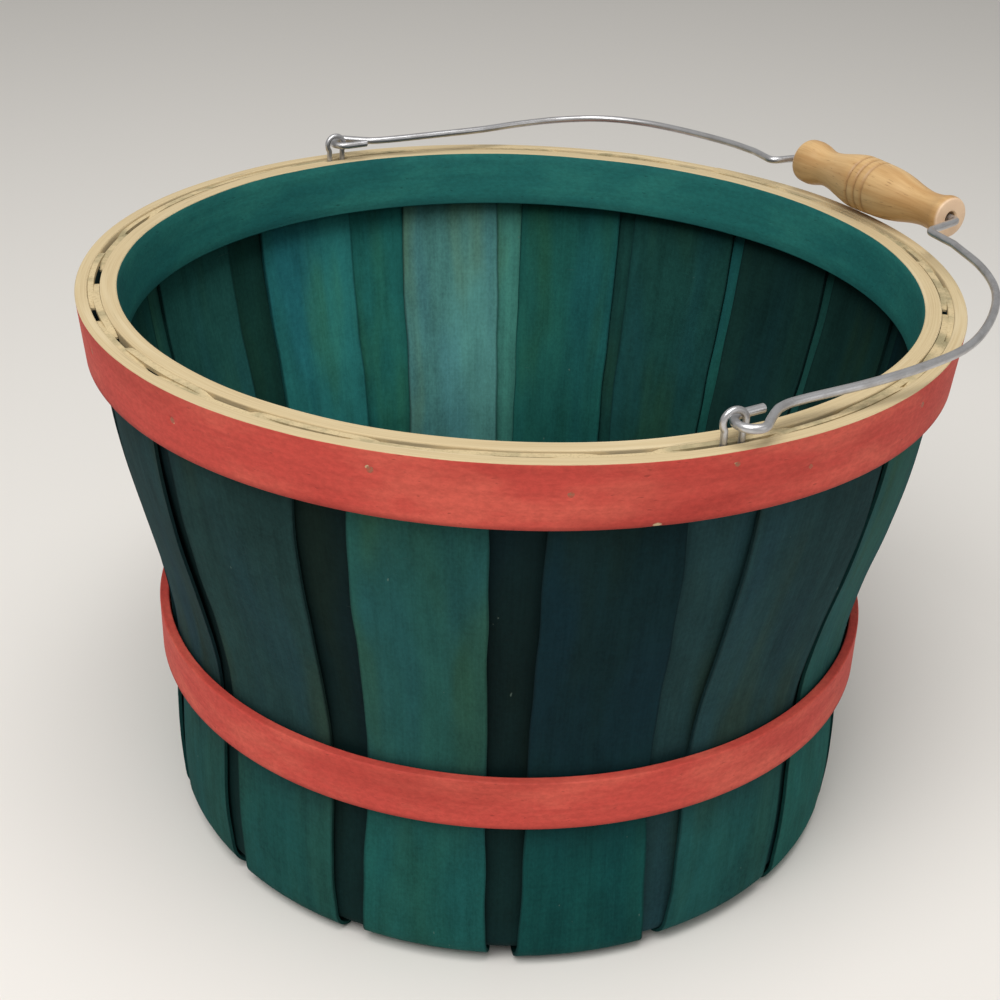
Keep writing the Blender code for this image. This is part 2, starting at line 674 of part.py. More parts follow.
def build():
    clear_scene()
    scene = bpy.context.scene.collection
    parts = new_collection("splint_basket", scene)
    cutters = new_collection("cutters", scene)
    splints = build_splints(parts)
    outer, inner, middle = build_hoops(parts)
    rim_holes = build_rim_nails(parts, cutters)
    mid_holes = build_mid_nails(parts, cutters)
    tack_hole = build_tack(parts, cutters)
    front_groove = build_ear("ear_front", EAR_FRONT_AZIMUTH, EAR_FRONT, parts, cutters)
    back_groove = build_ear("ear_back", EAR_BACK_AZIMUTH, EAR_BACK, parts, cutters)
    for part in splints:
        cut(part, rim_holes)
        cut(part, mid_holes)
    for part in splints[1:]:
        cut(part, tack_hole)
    cut(outer, rim_holes)
    cut(outer, front_groove)
    cut(inner, rim_holes)
    cut(inner, back_groove)
    cut(middle, mid_holes)
    build_bail(parts)


build()
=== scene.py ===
import json
import math

import bmesh
import bpy
import numpy as np
from bpy.props import FloatProperty, IntProperty, FloatVectorProperty, PointerProperty
from mathutils import Matrix, Vector


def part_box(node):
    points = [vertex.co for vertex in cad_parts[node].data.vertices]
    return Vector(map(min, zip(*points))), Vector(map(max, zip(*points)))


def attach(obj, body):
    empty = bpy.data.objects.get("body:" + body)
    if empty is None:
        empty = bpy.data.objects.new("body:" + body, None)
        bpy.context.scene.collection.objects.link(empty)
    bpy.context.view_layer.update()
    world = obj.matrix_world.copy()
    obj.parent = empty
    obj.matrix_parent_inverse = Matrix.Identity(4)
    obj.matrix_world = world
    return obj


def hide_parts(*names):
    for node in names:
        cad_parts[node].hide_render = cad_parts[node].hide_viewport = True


bl_info = {
    "name": "Splint Basket",
    "version": (1, 0, 0),
    "blender": (4, 5, 0),
    "location": "3D View > Sidebar > Basket",
    "description": "Builds the visible surfaces of a dyed splint basket",
    "category": "Object",
}

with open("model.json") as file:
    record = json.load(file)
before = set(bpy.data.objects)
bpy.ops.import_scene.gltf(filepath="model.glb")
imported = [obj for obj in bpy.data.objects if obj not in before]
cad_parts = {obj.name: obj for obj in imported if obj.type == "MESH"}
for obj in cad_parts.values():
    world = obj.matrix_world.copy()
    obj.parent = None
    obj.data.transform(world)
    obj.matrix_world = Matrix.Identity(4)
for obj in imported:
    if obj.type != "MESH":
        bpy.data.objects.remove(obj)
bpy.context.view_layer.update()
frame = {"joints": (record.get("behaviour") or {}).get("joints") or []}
JOINTS = {joint["name"]: joint for joint in frame["joints"]}

MM = 0.001
UP = np.array([0.0, 0.0, 1.0])

# Sizes read from the frame
RIM_LOW, RIM_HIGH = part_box("hoop_rim_outer")
MID_LOW, MID_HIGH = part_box("hoop_middle")
RIM_RADIUS, HEIGHT = RIM_HIGH.x, RIM_HIGH.z
HOOP_FOOT = RIM_LOW.z
MID_OUTER, MID_TOP = MID_HIGH.x, MID_HIGH.z
MID_BOTTOM = MID_LOW.z
HINGE = Vector(JOINTS["bail_swing"]["pos_m"])
HINGE_AXIS = Vector(JOINTS["bail_swing"]["axis"]).normalized()
GRIP_CENTRE = Vector(JOINTS["grip_spin"]["pos_m"])
GRIP_AXIS = Vector(JOINTS["grip_spin"]["axis"]).normalized()

# Wall and rim, as in the construction, in metres
SPLINT = 1.0 * MM
RIM_GAP = 0.5 * MM
OUTER_HOOP = 3.9 * MM
INNER_HOOP = 5.1 * MM
MID_HOOP = 3.2 * MM
HOOP_SLOPE = 1.5 / 17.5
WALL_OUTER = RIM_RADIUS - OUTER_HOOP - RIM_GAP
INNER_INSET = SPLINT + RIM_GAP
WAIST = MID_OUTER - MID_HOOP - RIM_GAP
BEND_RADIUS = 8.0 * MM
FLAT_RADIUS = WAIST - BEND_RADIUS
BELLY = [(0.39, 0.0043), (0.60, 0.0035), (0.81, 0.0)]
FLARE = [(0.11, 0.04), (0.30, 0.23), (0.50, 0.51), (0.75, 0.81)]
HOOP_BITE = 0.2 * MM
FIRST_ROW = 0.42 * MID_BOTTOM
LEVEL = 1.2 * MM
CROSSING_RADIUS = 60.0 * MM
FAN_RADIUS = FLAT_RADIUS - 8.0 * MM

# Rows of points along an arm's base, bend and wall and over the crossing, and columns across it
BASE_ROWS, BEND_ROWS, WALL_ROWS, CROSSING_ROWS, COLUMNS = 30, 10, 74, 18, 15
# Waves in a free splint's face, and how far its corners are worn down at the rim
WAVE = 0.18 * MM
WORN_CORNER = 1.6 * MM
# Hoops: eased edges, ripples of the top and of the face, dents of the nails and the chip
EASE = 0.5 * MM
TOP_RIPPLE = 0.35 * MM
FACE_RIPPLE = 0.15 * MM
DENT_DEPTH = 0.42 * MM
DENT_RADIUS = 1.25 * MM
NICK_RADIUS = 0.9 * MM
CHIP_DEPTH = 0.6 * MM
CHIP_HALF = 2.4 * MM
CHIP_HEIGHT = 1.9 * MM

# Arms of the splints: azimuth and angle spanned at the base, then at the rim, in degrees. An
# inner arm has one azimuth.
OUTER_ARMS = [
    (-81.0, 18.8, -81.0, 17.7), (-57.4, 18.3, -58.0, 16.0), (-35.0, 18.7, -36.4, 21.0),
    (-11.2, 18.8, -10.6, 15.9), (13.0, 19.5, 11.9, 15.8), (37.1, 20.5, 41.0, 22.5),
    (59.3, 18.3, 61.6, 16.0), (80.5, 18.0, 80.5, 17.3), (100.7, 18.0, 100.7, 17.3),
    (120.9, 18.0, 120.9, 17.3), (141.0, 18.0, 141.0, 17.3), (161.5, 18.0, 161.5, 16.9),
    (182.5, 18.8, 182.5, 17.7), (206.5, 19.3, 206.5, 18.2), (232.4, 19.3, 232.4, 18.2),
    (255.5, 19.0, 255.5, 17.7),
]
INNER_ARMS = [(at, base, at, rim) for at, base, rim in [
    (-69.2, 18.5, 17.1), (-46.3, 18.5, 17.1), (-23.0, 18.5, 17.1), (0.8, 18.5, 17.1),
    (24.2, 18.5, 16.8), (49.5, 18.5, 17.1), (70.2, 18.3, 16.6), (90.6, 18.3, 16.6),
    (110.8, 18.3, 16.6), (130.5, 18.0, 17.9), (151.0, 18.3, 18.8), (171.6, 18.5, 17.4),
    (193.0, 18.5, 16.8), (220.0, 18.8, 17.0), (245.3, 19.0, 18.2), (267.3, 18.5, 17.1),
]]

# Dyes by name, as screen colours, the dyes of the arms in the order of the tables above, and
# the dye of a hoop with its light and dark spots
DYES = {
    "slate": (31, 57, 56), "steel": (31, 57, 59), "navy": (14, 37, 40), "ink": (13, 31, 31),
    "teal": (33, 76, 70), "bottle": (31, 88, 80), "deep": (29, 72, 66), "moss": (24, 60, 52),
    "night": (21, 49, 45), "lake": (37, 86, 80), "jade": (37, 106, 100),
    "lagoon": (42, 112, 109), "sea": (80, 134, 128), "mint": (68, 130, 118),
}
OUTER_DYES = ("steel steel slate teal navy steel teal slate "
              "night deep bottle deep mint jade moss lake").split()
INNER_DYES = ("ink ink ink ink steel navy ink navy "
              "night night deep bottle sea lagoon lake deep").split()
REDS = ((190, 71, 61), (204, 92, 76), (166, 54, 46))
TEALS = ((31, 103, 98), (42, 117, 108), (20, 88, 88))

# Nails and tack, as in the construction, in millimetres: rim nails as (azimuth, depth below the
# rim as a share of the hoop's height), middle nails by azimuth
RIM_NAILS = [
    (-86.5, 0.41), (-62.5, 0.36), (-41.5, 0.45), (-15.0, 0.30), (6.0, 0.45), (24.0, 0.21),
    (34.0, 0.51), (54.8, 0.36), (75.0, 0.45), (95.2, 0.33), (115.4, 0.44), (135.5, 0.36),
    (156.0, 0.45), (177.0, 0.38), (195.5, 0.44), (213.4, 0.21), (233.0, 0.33), (253.0, 0.41),
]
MID_NAILS = [-52.6, -5.5, 43.2, 84.3, 124.2, 165.3, 213.7, 261.0]
NAIL_SHANK = 0.75
NAIL_HEAD = 1.6
NAIL_HEAD_HEIGHT = 0.5
NAIL_POINT = 1.2
RIM_NAIL_SUNK = 0.3
NAIL_LENGTH = 9.6
MID_NAIL_LENGTH = 4.8
TACK_AT = (4.5, 1.02, 19.12)
TACK_LENGTH = 17.4
NAIL_SIDES = 16
# Where the outer hoop is chipped, and the nail with the most dye gone
CHIP_AZIMUTH = 15.5
FLAKED_NAIL = 3

# Ears and bail, as in the construction, in millimetres. The arches and GRIP_AT are shares of
# half the hinge's length, along it and out from it.
EAR_FRONT_AZIMUTH = 24.1
EAR_BACK_AZIMUTH = 213.4
HINGE_RISE = 5.5
EAR_WIRE = 0.95
EAR_RING = 3.3
EAR_LEG_SPREAD = 2.6
EAR_LEG_DEPTH = 13.0
CLEARANCE = 0.3
EAR_FRONT = (WALL_OUTER - INNER_INSET) / MM + CLEARANCE + EAR_WIRE
EAR_BACK = (WALL_OUTER - INNER_INSET - SPLINT) / MM - CLEARANCE - EAR_WIRE
BAIL_WIRE = 1.25
HOOK_RADIUS = 4.6
HOOK_SHIFT = 1.6
HOOK_TAIL = (-3.2, 11.0)
NECK = [(5.5, 6.0), (2.6, 9.3), (0.1, 12.4), (-1.6, 15.3)]
ARCH_FRONT = [
    (0.979, 0.169), (0.979, 0.339), (0.965, 0.492), (0.930, 0.635), (0.845, 0.773),
    (0.726, 0.898), (0.592, 0.978), (0.436, 1.028),
]
ARCH_BACK = [
    (0.975, 0.190), (0.961, 0.321), (0.949, 0.442), (0.950, 0.572), (0.934, 0.703),
    (0.883, 0.824), (0.786, 0.911), (0.656, 0.972), (0.515, 1.018), (0.405, 1.036),
]
SHOULDER_FRONT = (3.5, -15.0)
SHOULDER_BACK = (-2.2, -12.0)
SHOULDER_BEND = 2.8
GRIP_BEND = 2.2
GRIP_AT = (0.0069, 1.1365)
GRIP_TILT = 2.75
GRIP_HALF = 36.5
GRIP_RADIUS = 9.4
GRIP_BORE = 2.1
WIRE_PAST_GRIP = 3.0
GRIP_BODY = [
    (0.94, 0.76), (0.84, 0.66), (0.72, 0.62), (0.61, 0.66), (0.50, 0.74), (0.39, 0.84),
    (0.27, 0.92), (0.16, 0.96), (0.05, 0.98), (-0.04, 0.99), (-0.15, 1.0), (-0.22, 0.985),
    (-0.31, 0.92), (-0.42, 0.82), (-0.53, 0.72), (-0.64, 0.67), (-0.72, 0.70), (-0.81, 0.79),
    (-0.88, 0.83), (-0.94, 0.82),
]
GRIP_RINGS = [0.06, -0.04, -0.14]

# Stage: how far the floor lies below the base, the lamps as (name, place, size, power), the
# world's light and what the camera sees of it
FLOOR_HALF = 3.0
FLOOR_DROP = 0.2 * MM
LAMPS = [("key", (-0.35, -0.75, 1.35), 0.9, 15.0), ("top", (0.15, -0.25, 1.5), 0.7, 7.0),
         ("fill", (1.1, -0.9, 0.55), 0.9, 2.0)]
LAMPS_AIM = (0.0, 0.0, 0.1)
WORLD_LIGHT = (0.80, 0.80, 0.79, 1.0)
WORLD_STRENGTH = 0.46
WORLD_SEEN = (0.74, 0.73, 0.71, 1.0)

# Camera of the photograph: its place, its right, up and backward directions, and its lens
CAMERA_AT = (0.0, -0.4789, 0.3587)
CAMERA_AXES = (
    (0.99926578, 0.02475109, 0.0292454),
    (-0.03749673, 0.47502978, 0.87917047),
    (0.00786799, -0.87962156, 0.47560908),
)
CAMERA_LENS = 57.6


def linear(colour):
    """Screen colour of 0 to 255 as linear light, by the sRGB curve."""
    c = np.array(colour, float) / 255.0
    return tuple(np.where(c <= 0.04045, c / 12.92, ((c + 0.055) / 1.055) ** 2.4))


def put(name, data):
    """Object for some data, linked to the scene."""
    made = bpy.data.objects.new(name, data)
    bpy.context.scene.collection.objects.link(made)
    return made


def run_length(path):
    """Distance along a path at each of its points."""
    step = np.linalg.norm(np.diff(path, axis=0), axis=1)
    return np.concatenate([[0.0], np.cumsum(step)])


def mix(a, b, t):
    return a + (b - a) * t


def smoothstep(t):
    """3 t^2 - 2 t^3 between 0 and 1."""
    t = np.clip(t, 0.0, 1.0)
    return t * t * (3.0 - 2.0 * t)


def radial(azimuth):
    """Unit vectors out from the axis at azimuths in degrees: (sin, -cos, 0)."""
    a = np.radians(azimuth)
    return np.stack([np.sin(a), -np.cos(a), np.zeros_like(a)], -1)


def smooth_curve(points, at):
    """Catmull-Rom curve through (abscissa, value) points: a cubic with central slopes."""
    x, y = np.array(points, float).T
    slope = np.empty_like(y)
    slope[1:-1] = (y[2:] - y[:-2]) / (x[2:] - x[:-2])
    slope[0] = (y[1] - y[0]) / (x[1] - x[0])
    slope[-1] = (y[-1] - y[-2]) / (x[-1] - x[-2])
    k = np.clip(np.searchsorted(x, at, "right") - 1, 0, len(x) - 2)
    h = x[k + 1] - x[k]
    t = (at - x[k]) / h
    left = (2 * t ** 3 - 3 * t ** 2 + 1) * y[k] + (t ** 3 - 2 * t ** 2 + t) * h * slope[k]
    right = (3 * t ** 2 - 2 * t ** 3) * y[k + 1] + (t ** 3 - t ** 2) * h * slope[k + 1]
    return left + right


def wall_radius(height):
    """Outer radius of the outer splints at heights, by the same curve as in the construction."""
    under_rim = WALL_OUTER - (HEIGHT - HOOP_FOOT) * HOOP_SLOPE
    points = [(BEND_RADIUS, WAIST)]
    points += [(MID_BOTTOM * share, WAIST * (1.0 + swell)) for share, swell in BELLY]
    points += [(MID_BOTTOM, WAIST - HOOP_BITE), (MID_TOP, WAIST)]
    points += [(mix(MID_TOP, HOOP_FOOT, share), mix(WAIST, under_rim, way)) for share, way in FLARE]
    points += [(HOOP_FOOT, under_rim), (HEIGHT, WALL_OUTER)]
    return smooth_curve(points, height)


def ripple(x, seed, count=4):
    """Sum of a few sine waves of falling size with seeded phases, about -1 to 1."""
    rng = np.random.default_rng(seed)
    total = np.zeros_like(x)
    for k in range(count):
        turn = x * (1.0 + 1.7 * k) * rng.uniform(0.8, 1.2) + rng.uniform(0, math.tau)
        total += np.sin(turn) / (1.5 + k)
    return total / 1.6


def grid_mesh(name, points, u, v, wrap, marks={}, caps=()):
    """Mesh of a surface given as a grid of points (rows, columns, 3).

    wrap tells whether its rows and its columns close round. u and v are the grain map, with one
    more row or column than points there. marks are point attributes. caps are extra faces as
    rows of point indices.
    """
    rows, columns = points.shape[:2]
    i = np.arange(rows if wrap[0] else rows - 1)[:, None]
    j = np.arange(columns if wrap[1] else columns - 1)[None, :]
    corners = [(i, j), (i + 1, j), (i + 1, j + 1), (i, j + 1)]
    quads = np.stack([(a % rows) * columns + b % columns for a, b in corners], -1).reshape(-1, 4)
    uv = np.stack(np.broadcast_arrays(u, v), -1)
    flat_uv = np.stack([uv[a + 0 * b, b + 0 * a] for a, b in corners], -2).reshape(-1, 2)
    if caps:
        point_uv = uv[:rows, :columns].reshape(-1, 2)
        flat_uv = np.vstack([flat_uv, point_uv[np.concatenate(caps)]])
    mesh = bpy.data.meshes.new(name)
    mesh.from_pydata(points.reshape(-1, 3), [], quads.tolist() + list(caps))
    mesh.uv_layers.new(name="grain").data.foreach_set("uv", flat_uv.astype(np.float32).ravel())
    for mark, values in marks.items():
        set_mark(mesh, mark, np.broadcast_to(values, points.shape[:2]))
    return mesh


def set_mark(mesh, name, values):
    """Writes a point attribute that the materials read."""
    layer = mesh.attributes.new(name, "FLOAT", "POINT")
    layer.data.foreach_set("value", values.astype(np.float32).ravel())


def finished(mesh, sharp=38.0, weld=False):
    """Turns the faces outwards and marks edges sharper than an angle. weld joins doubled points."""
    bm = bmesh.new()
    bm.from_mesh(mesh)
    if weld:
        bmesh.ops.remove_doubles(bm, verts=bm.verts, dist=1e-7)
    bmesh.ops.recalc_face_normals(bm, faces=bm.faces)
    bm.to_mesh(mesh)
    bm.free()
    mesh.shade_smooth()
    mesh.set_sharp_from_angle(angle=math.radians(sharp))
    return mesh


def add_piece(mesh, finish, node, body="basket"):
    """Object for a finished mesh, which rides on a body and stands for a construction node."""
    piece = put(mesh.name, mesh)
    mesh.materials.append(finish)
    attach(piece, body)
    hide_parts(node)


def tube_mesh(name, path, radius, sides, dome=0.25):
    """Round tube along a path: circles carried by a frame that turns as little as it can.

    Each end closes with a ring drawn in by a share of the radius and a flat cap.
    """
    tangent = np.gradient(path, axis=0)
    tangent /= np.linalg.norm(tangent, axis=1)[:, None]
    side = np.cross(tangent[0], (0.31, 0.52, 0.79))
    a = np.empty_like(path)
    for k, t in enumerate(tangent):
        side = side - t * side.dot(t)
        side /= np.linalg.norm(side)
        a[k] = side
    b = np.cross(tangent, a)
    start = path[:1] - tangent[:1] * radius * dome
    end = path[-1:] + tangent[-1:] * radius * dome
    line = np.vstack([start, path, end])
    a, b = (np.vstack([way[:1], way, way[-1:]]) for way in (a, b))
    cut = np.zeros(len(line))
    cut[[0, -1]] = 1.0
    turn = np.arange(sides + 1) / sides * math.tau
    angle = turn[:-1, None]
    ring = a[:, None] * np.cos(angle) + b[:, None] * np.sin(angle)
    points = line[:, None] + ring * (radius * (1.0 - dome * cut))[:, None, None]
    last = (len(line) - 1) * sides
    caps = [list(range(sides))[::-1], [last + k for k in range(sides)]]
    return finished(grid_mesh(name, points, turn[None, :] * radius, run_length(line)[:, None],
                              (False, True), {"cut": cut[:, None]}, caps))


def lathe_mesh(name, profile, place, segments, closed=False):
    """Profile of (radius, height) in millimetres turned about Z, then moved by a matrix.

    Each point is (r cos a, r sin a, z). A profile that isn't closed starts and ends on the axis.
    """
    profile = np.array(profile, float) * MM
    r, z = profile.T
    turn = (np.arange(segments + 1) / segments * math.tau)[:, None]
    angle = turn[:-1]
    points = np.stack(np.broadcast_arrays(r * np.cos(angle), r * np.sin(angle), z), -1)
    run = run_length(np.vstack([profile, profile[:1]]) if closed else profile)
    mesh = grid_mesh(name, points, turn * r.max(), run[None, :], (True, closed))
    mesh.transform(place)
    return finished(mesh, weld=not closed)


class Socket:
    """Wraps a shader socket, so that arithmetic on it adds Math nodes."""

    def __init__(self, finish, socket):
        self.finish = finish
        self.socket = socket

    def math(self, operation, a, b):
        return self.finish.node("ShaderNodeMath", {"operation": operation}, [a, b])[0]

    def __add__(self, other):
        return self.math("ADD", self, other)

    def __sub__(self, other):
        return self.math("SUBTRACT", self, other)

    def __rsub__(self, other):
        return self.math("SUBTRACT", other, self)

    def __mul__(self, other):
        return self.math("MULTIPLY", self, other)

    __radd__ = __add__
    __rmul__ = __mul__


class Finish:
    """A procedural material under construction."""

    def __init__(self, name, seed=0.0):
        self.seed = seed
        self.material = bpy.data.materials.new(name)
        self.material.use_nodes = True
        self.tree = self.material.node_tree
        self.shader = self.tree.nodes["Principled BSDF"]

    def node(self, kind, settings, values):
        """Adds a node, sets it up, then sets or links its sockets, given by place or by name."""
        made = self.tree.nodes.new(kind)
        for name, value in settings.items():
            setattr(made, name, value)
        named = values.items() if isinstance(values, dict) else enumerate(values)
        for key, value in named:
            self.feed(made.inputs[key], value)
        return [Socket(self, socket) for socket in made.outputs if socket.enabled]

    def feed(self, target, value):
        if isinstance(value, Socket):
            self.tree.links.new(value.socket, target)
        else:
            target.default_value = value

    def place(self):
        """Object coordinates, the fourth output of their node."""
        return self.node("ShaderNodeTexCoord", {}, [])[3]

    def noise(self, vector, scale, shift, detail, rough):
        """Noise over a vector that is scaled to patterns per metre."""
        moved = self.node("ShaderNodeMapping", {}, {
            "Vector": vector, "Scale": scale, "Location": (shift, 0.37 * shift, shift)})[0]
        return self.node("ShaderNodeTexNoise", {}, {
            "Vector": moved, "Scale": 1.0, "Detail": detail, "Roughness": rough})[0]

    def grain(self, across, along, shift, detail=2.0, rough=0.5):
        """Noise over the piece's own grain map, moved by the finish's seed and a shift."""
        uv = self.node("ShaderNodeUVMap", {"uv_map": "grain"}, [])[0]
        return self.noise(uv, (across, along, 1.0), self.seed + shift, detail, rough)

    def solid(self, scale, detail=2.0, rough=0.5):
        """Noise through the piece, over Object coordinates."""
        return self.noise(self.place(), (scale,) * 3, 0.0, detail, rough)

    def mark(self, name):
        """Point attribute of the mesh as a number."""
        return self.node("ShaderNodeAttribute", {"attribute_name": name}, [])[2]

    def band(self, value, low, high):
        """0 below low, 1 above high, smooth between."""
        return self.node("ShaderNodeMapRange", {"interpolation_type": "SMOOTHSTEP"}, {
            "Value": value, "From Min": low, "From Max": high})[0]

    def blend(self, factor, a, b, how="MIX"):
        """Colour a where the factor is 0 and b where it is 1."""
        a, b = (value if isinstance(value, Socket) else (*value, 1.0) for value in (a, b))
        settings = {"data_type": "RGBA", "blend_type": how, "clamp_factor": True}
        return self.node("ShaderNodeMix", settings, {0: factor, 6: a, 7: b})[0]

    def layers(self, colour, *rows):
        """Colour with screen colours laid over it one by one: rows of (factor, screen colour)."""
        for factor, over in rows:
            colour = self.blend(factor, colour, linear(over))
        return colour

    def shaded(self, colour, tone):
        """Colour multiplied by a number."""
        grey = self.node("ShaderNodeCombineColor", {}, [tone, tone, tone])[0]
        return self.blend(1.0, colour, grey, "MULTIPLY")

    def bump(self, height, distance, strength):
        return self.node("ShaderNodeBump", {}, {
            "Strength": strength, "Distance": distance, "Height": height})[0]

    def done(self, colour, roughness, normal=None, metallic=0.0, specular=0.5):
        fed = {"Base Color": colour, "Roughness": roughness, "Metallic": metallic,
               "Specular IOR Level": specular, "Normal": normal}
        for name, value in fed.items():
            if value is not None:
                self.feed(self.shader.inputs[name], value)
        return self.material


def dyed_splint(name, dye_a, dye_b, seed, raw, wash):
    """Dyed veneer: two dyes, one for each arm, with cloudy tone, soft grain, cross checks and
    painted shade along the edges, by the hoops and beside the other layer's arms.

    wash is how strongly the lower end, which stood deepest in the dye, turns to teal.
    """
    f = Finish(name, seed)
    cloud = f.grain(30.0, 11.0, 0.0, 3.0, 0.55)
    cool = f.grain(44.0, 8.0, 7.3)
    warm = f.grain(52.0, 10.0, 9.9)
    mottle = f.grain(170.0, 70.0, 2.6, 3.0, 0.6)
    streak = f.grain(330.0, 6.0, 3.1, 3.0, 0.6)
    fine = f.grain(1500.0, 50.0, 5.7, 2.0, 0.6)
    felt = f.grain(1000.0, 640.0, 1.9, 2.0, 0.7)
    check = f.grain(90.0, 1100.0, 8.8, 2.0, 0.6)
    fleck = f.grain(620.0, 260.0, 4.4, 1.0)
    scratch = f.grain(120.0, 1900.0, 6.2, 1.0)
    colour = f.blend(f.band(f.mark("arm"), 0.42, 0.58), linear(dye_b), linear(dye_a))
    colour = f.blend(f.band(cool, 0.48, 0.68) * 0.42, colour, (0.78, 0.92, 1.32), "MULTIPLY")
    colour = f.blend(f.band(warm, 0.50, 0.70) * 0.80, colour, (1.45, 1.02, 0.74), "MULTIPLY")
    height = f.node("ShaderNodeSeparateXYZ", {}, [f.place()])[2]
    low = 1.0 - f.band(height, 0.030, 0.085)
    colour = f.layers(colour, (low * wash, (18, 90, 84)))
    tone = (f.band(cloud, 0.30, 0.72) * 0.36 + f.band(streak, 0.25, 0.75) * 0.17
            + f.band(mottle, 0.3, 0.7) * 0.18 + f.band(fine, 0.2, 0.8) * 0.10
            + f.band(felt, 0.25, 0.75) * 0.22 + check * 0.16 + 0.47)
    # Painted shade: a dark line along each splint's edges, standing in for the shadow where the
    # strips meet
    edge = f.band(f.mark("edge") + mottle * 0.06, 0.985, 1.03)
    # Painted shade from the "shade" mark: dark where shade falls by the hoops and beside the arms
    # over this one
    colour = f.layers(f.shaded(colour, tone), (edge * 0.5, (10, 24, 26)),
                      (f.mark("shade") * 0.34, (8, 20, 21)),
                      (f.band(fleck, 0.815, 0.84) * 0.4, (110, 128, 118)),
                      (f.band(scratch, 0.80, 0.86) * 0.35, (92, 112, 106)))
    end = f.layers(raw, (f.band(f.solid(75.0, 3.0, 0.6), 0.44, 0.68) * 0.75, (132, 126, 98)),
                   (f.band(f.solid(1500.0, 1.0), 0.5, 0.7) * 0.25, (120, 100, 70)))
    colour = f.blend(f.band(f.mark("raw"), 0.4, 0.6), colour, end)
    relief = streak * 0.4 + fine * 0.3 + check * 0.35 + felt * 0.3
    return f.done(colour, 0.88 - fine * 0.16, f.bump(relief, 0.20 * MM, 0.45), specular=0.05)


def dyed_hoop(name, dye, light, dark, raw, seed):
    """Dyed hoop strip: mottled faces, raw wood on the cut edges, nicks and worn spots, and painted
    shade along its lower edge.
    """
    f = Finish(name, seed)
    cloud = f.grain(70.0, 26.0, 0.0, 4.0, 0.6)
    patch = f.grain(44.0, 12.0, 2.2, 3.0, 0.55)
    streak = f.grain(520.0, 14.0, 5.1, 3.0, 0.6)
    speck = f.grain(900.0, 500.0, 8.3, 2.0, 0.7)
    pores = f.grain(1300.0, 380.0, 1.3, 1.0)
    ragged = f.grain(600.0, 180.0, 6.6, 3.0)
    colour = f.layers(linear(dye), (f.band(cloud, 0.42, 0.66) * 0.8, light),
                      (f.band(patch, 0.48, 0.68) * 0.65, dark))
    tone = f.band(streak, 0.25, 0.75) * 0.12 + f.band(speck, 0.25, 0.75) * 0.20 + 0.84
    # Dark pores, then painted shade along the strip's lower edge from the "low" mark
    colour = f.layers(f.shaded(colour, tone),
                      (f.band(pores, 0.72, 0.80) * 0.35, [0.45 * c for c in dark]),
                      (f.mark("low") * 0.5, [0.62 * c for c in dark]))
    worn = f.band(f.mark("raw") + ragged * 0.4, 0.60, 0.72)
    colour = f.blend(worn, colour, raw_edge(f, raw))
    relief = streak * 0.5 + speck * 0.4 - f.band(pores, 0.68, 0.78) * 0.4
    return f.done(colour, 0.76 - speck * 0.14, f.bump(relief, 0.25 * MM, 0.45), specular=0.2)


def raw_edge(f, raw):
    """Colour of a strip's cut edge: cream wood with fibres along the strip and a few grey lines."""
    fibre = f.grain(2400.0, 22.0, 11.0, 3.0, 0.6)
    soft = f.grain(300.0, 16.0, 13.0)
    stain = f.grain(900.0, 30.0, 17.0)
    return f.layers(raw, (f.band(fibre, 0.35, 0.75) * 0.45, (168, 142, 104)),
                    (f.band(soft, 0.50, 0.72) * 0.5, (208, 192, 158)),
                    (f.band(stain, 0.64, 0.78) * 0.6, (122, 114, 90)))


def galvanised(name, seed):
    """Zinc-coated wire: grey metal with dull patches and fine drawing marks along it."""
    f = Finish(name, seed)
    patch = f.grain(300.0, 110.0, 0.0, 3.0, 0.6)
    line = f.grain(3000.0, 40.0, 2.0)
    colour = f.layers(linear((196, 195, 196)), (f.band(patch, 0.40, 0.66) * 0.8, (166, 164, 164)),
                      (f.mark("cut") * 0.5, (226, 224, 216)))
    rough = f.band(patch, 0.35, 0.7) * 0.12 + 0.30
    return f.done(colour, rough, f.bump(line + patch * 0.5, 0.04 * MM, 0.5), metallic=0.85)


def turned_wood(name, seed):
    """Plain turned hardwood: grain along the grip, darker in the rings, pale at the cut ends."""
    f = Finish(name, seed)
    fibre = f.grain(1500.0, 60.0, 0.0, 3.0, 0.6)
    figure = f.grain(130.0, 20.0, 3.0, 3.0, 0.55)
    dots = f.grain(1600.0, 260.0, 6.0, 1.0)
    colour = f.layers(linear((208, 172, 120)), (f.band(figure, 0.36, 0.66), (182, 140, 88)),
                      (f.band(fibre, 0.40, 0.78) * 0.4, (160, 118, 70)),
                      (f.band(dots, 0.66, 0.76) * 0.5, (122, 84, 48)),
                      (f.mark("groove") * 0.55, (138, 98, 56)),
                      (f.mark("end") * 0.8, (226, 196, 166)))
    bump = f.bump(fibre + figure * 0.4, 0.12 * MM, 0.5)
    return f.done(colour, 0.52 - fibre * 0.12, bump, specular=0.45)


def dull_steel(name, dye, metal, dyed_from=0.0):
    """Dull metal under patches of dye, from a distance of the axis outwards."""
    f = Finish(name)
    patch = f.solid(1300.0)
    kind = "ShaderNodeVectorMath"
    flat = f.node(kind, {"operation": "MULTIPLY"}, [f.place(), (1.0, 1.0, 0.0)])[0]
    radius = f.node(kind, {"operation": "LENGTH"}, [flat])[0]
    dyed = f.band(radius, dyed_from - 0.4 * MM, dyed_from)
    bare = f.band(patch, 0.35, 0.65) * dyed + 1.0 - dyed
    rough = f.band(patch, 0.3, 0.7) * 0.2 + 0.45
    return f.done(f.layers(linear(dye), (bare, metal)), rough, metallic=0.4, specular=0.3)


def loosening(height):
    """How far a splint is free of the hoops: 0 at a hoop, 1 halfway between two."""
    def bow(low, high):
        return np.sin(np.pi * np.clip((height - low) / (high - low), 0.0, 1.0)) ** 0.8

    return bow(MID_TOP, HOOP_FOOT) + 0.6 * bow(BEND_RADIUS, MID_BOTTOM)


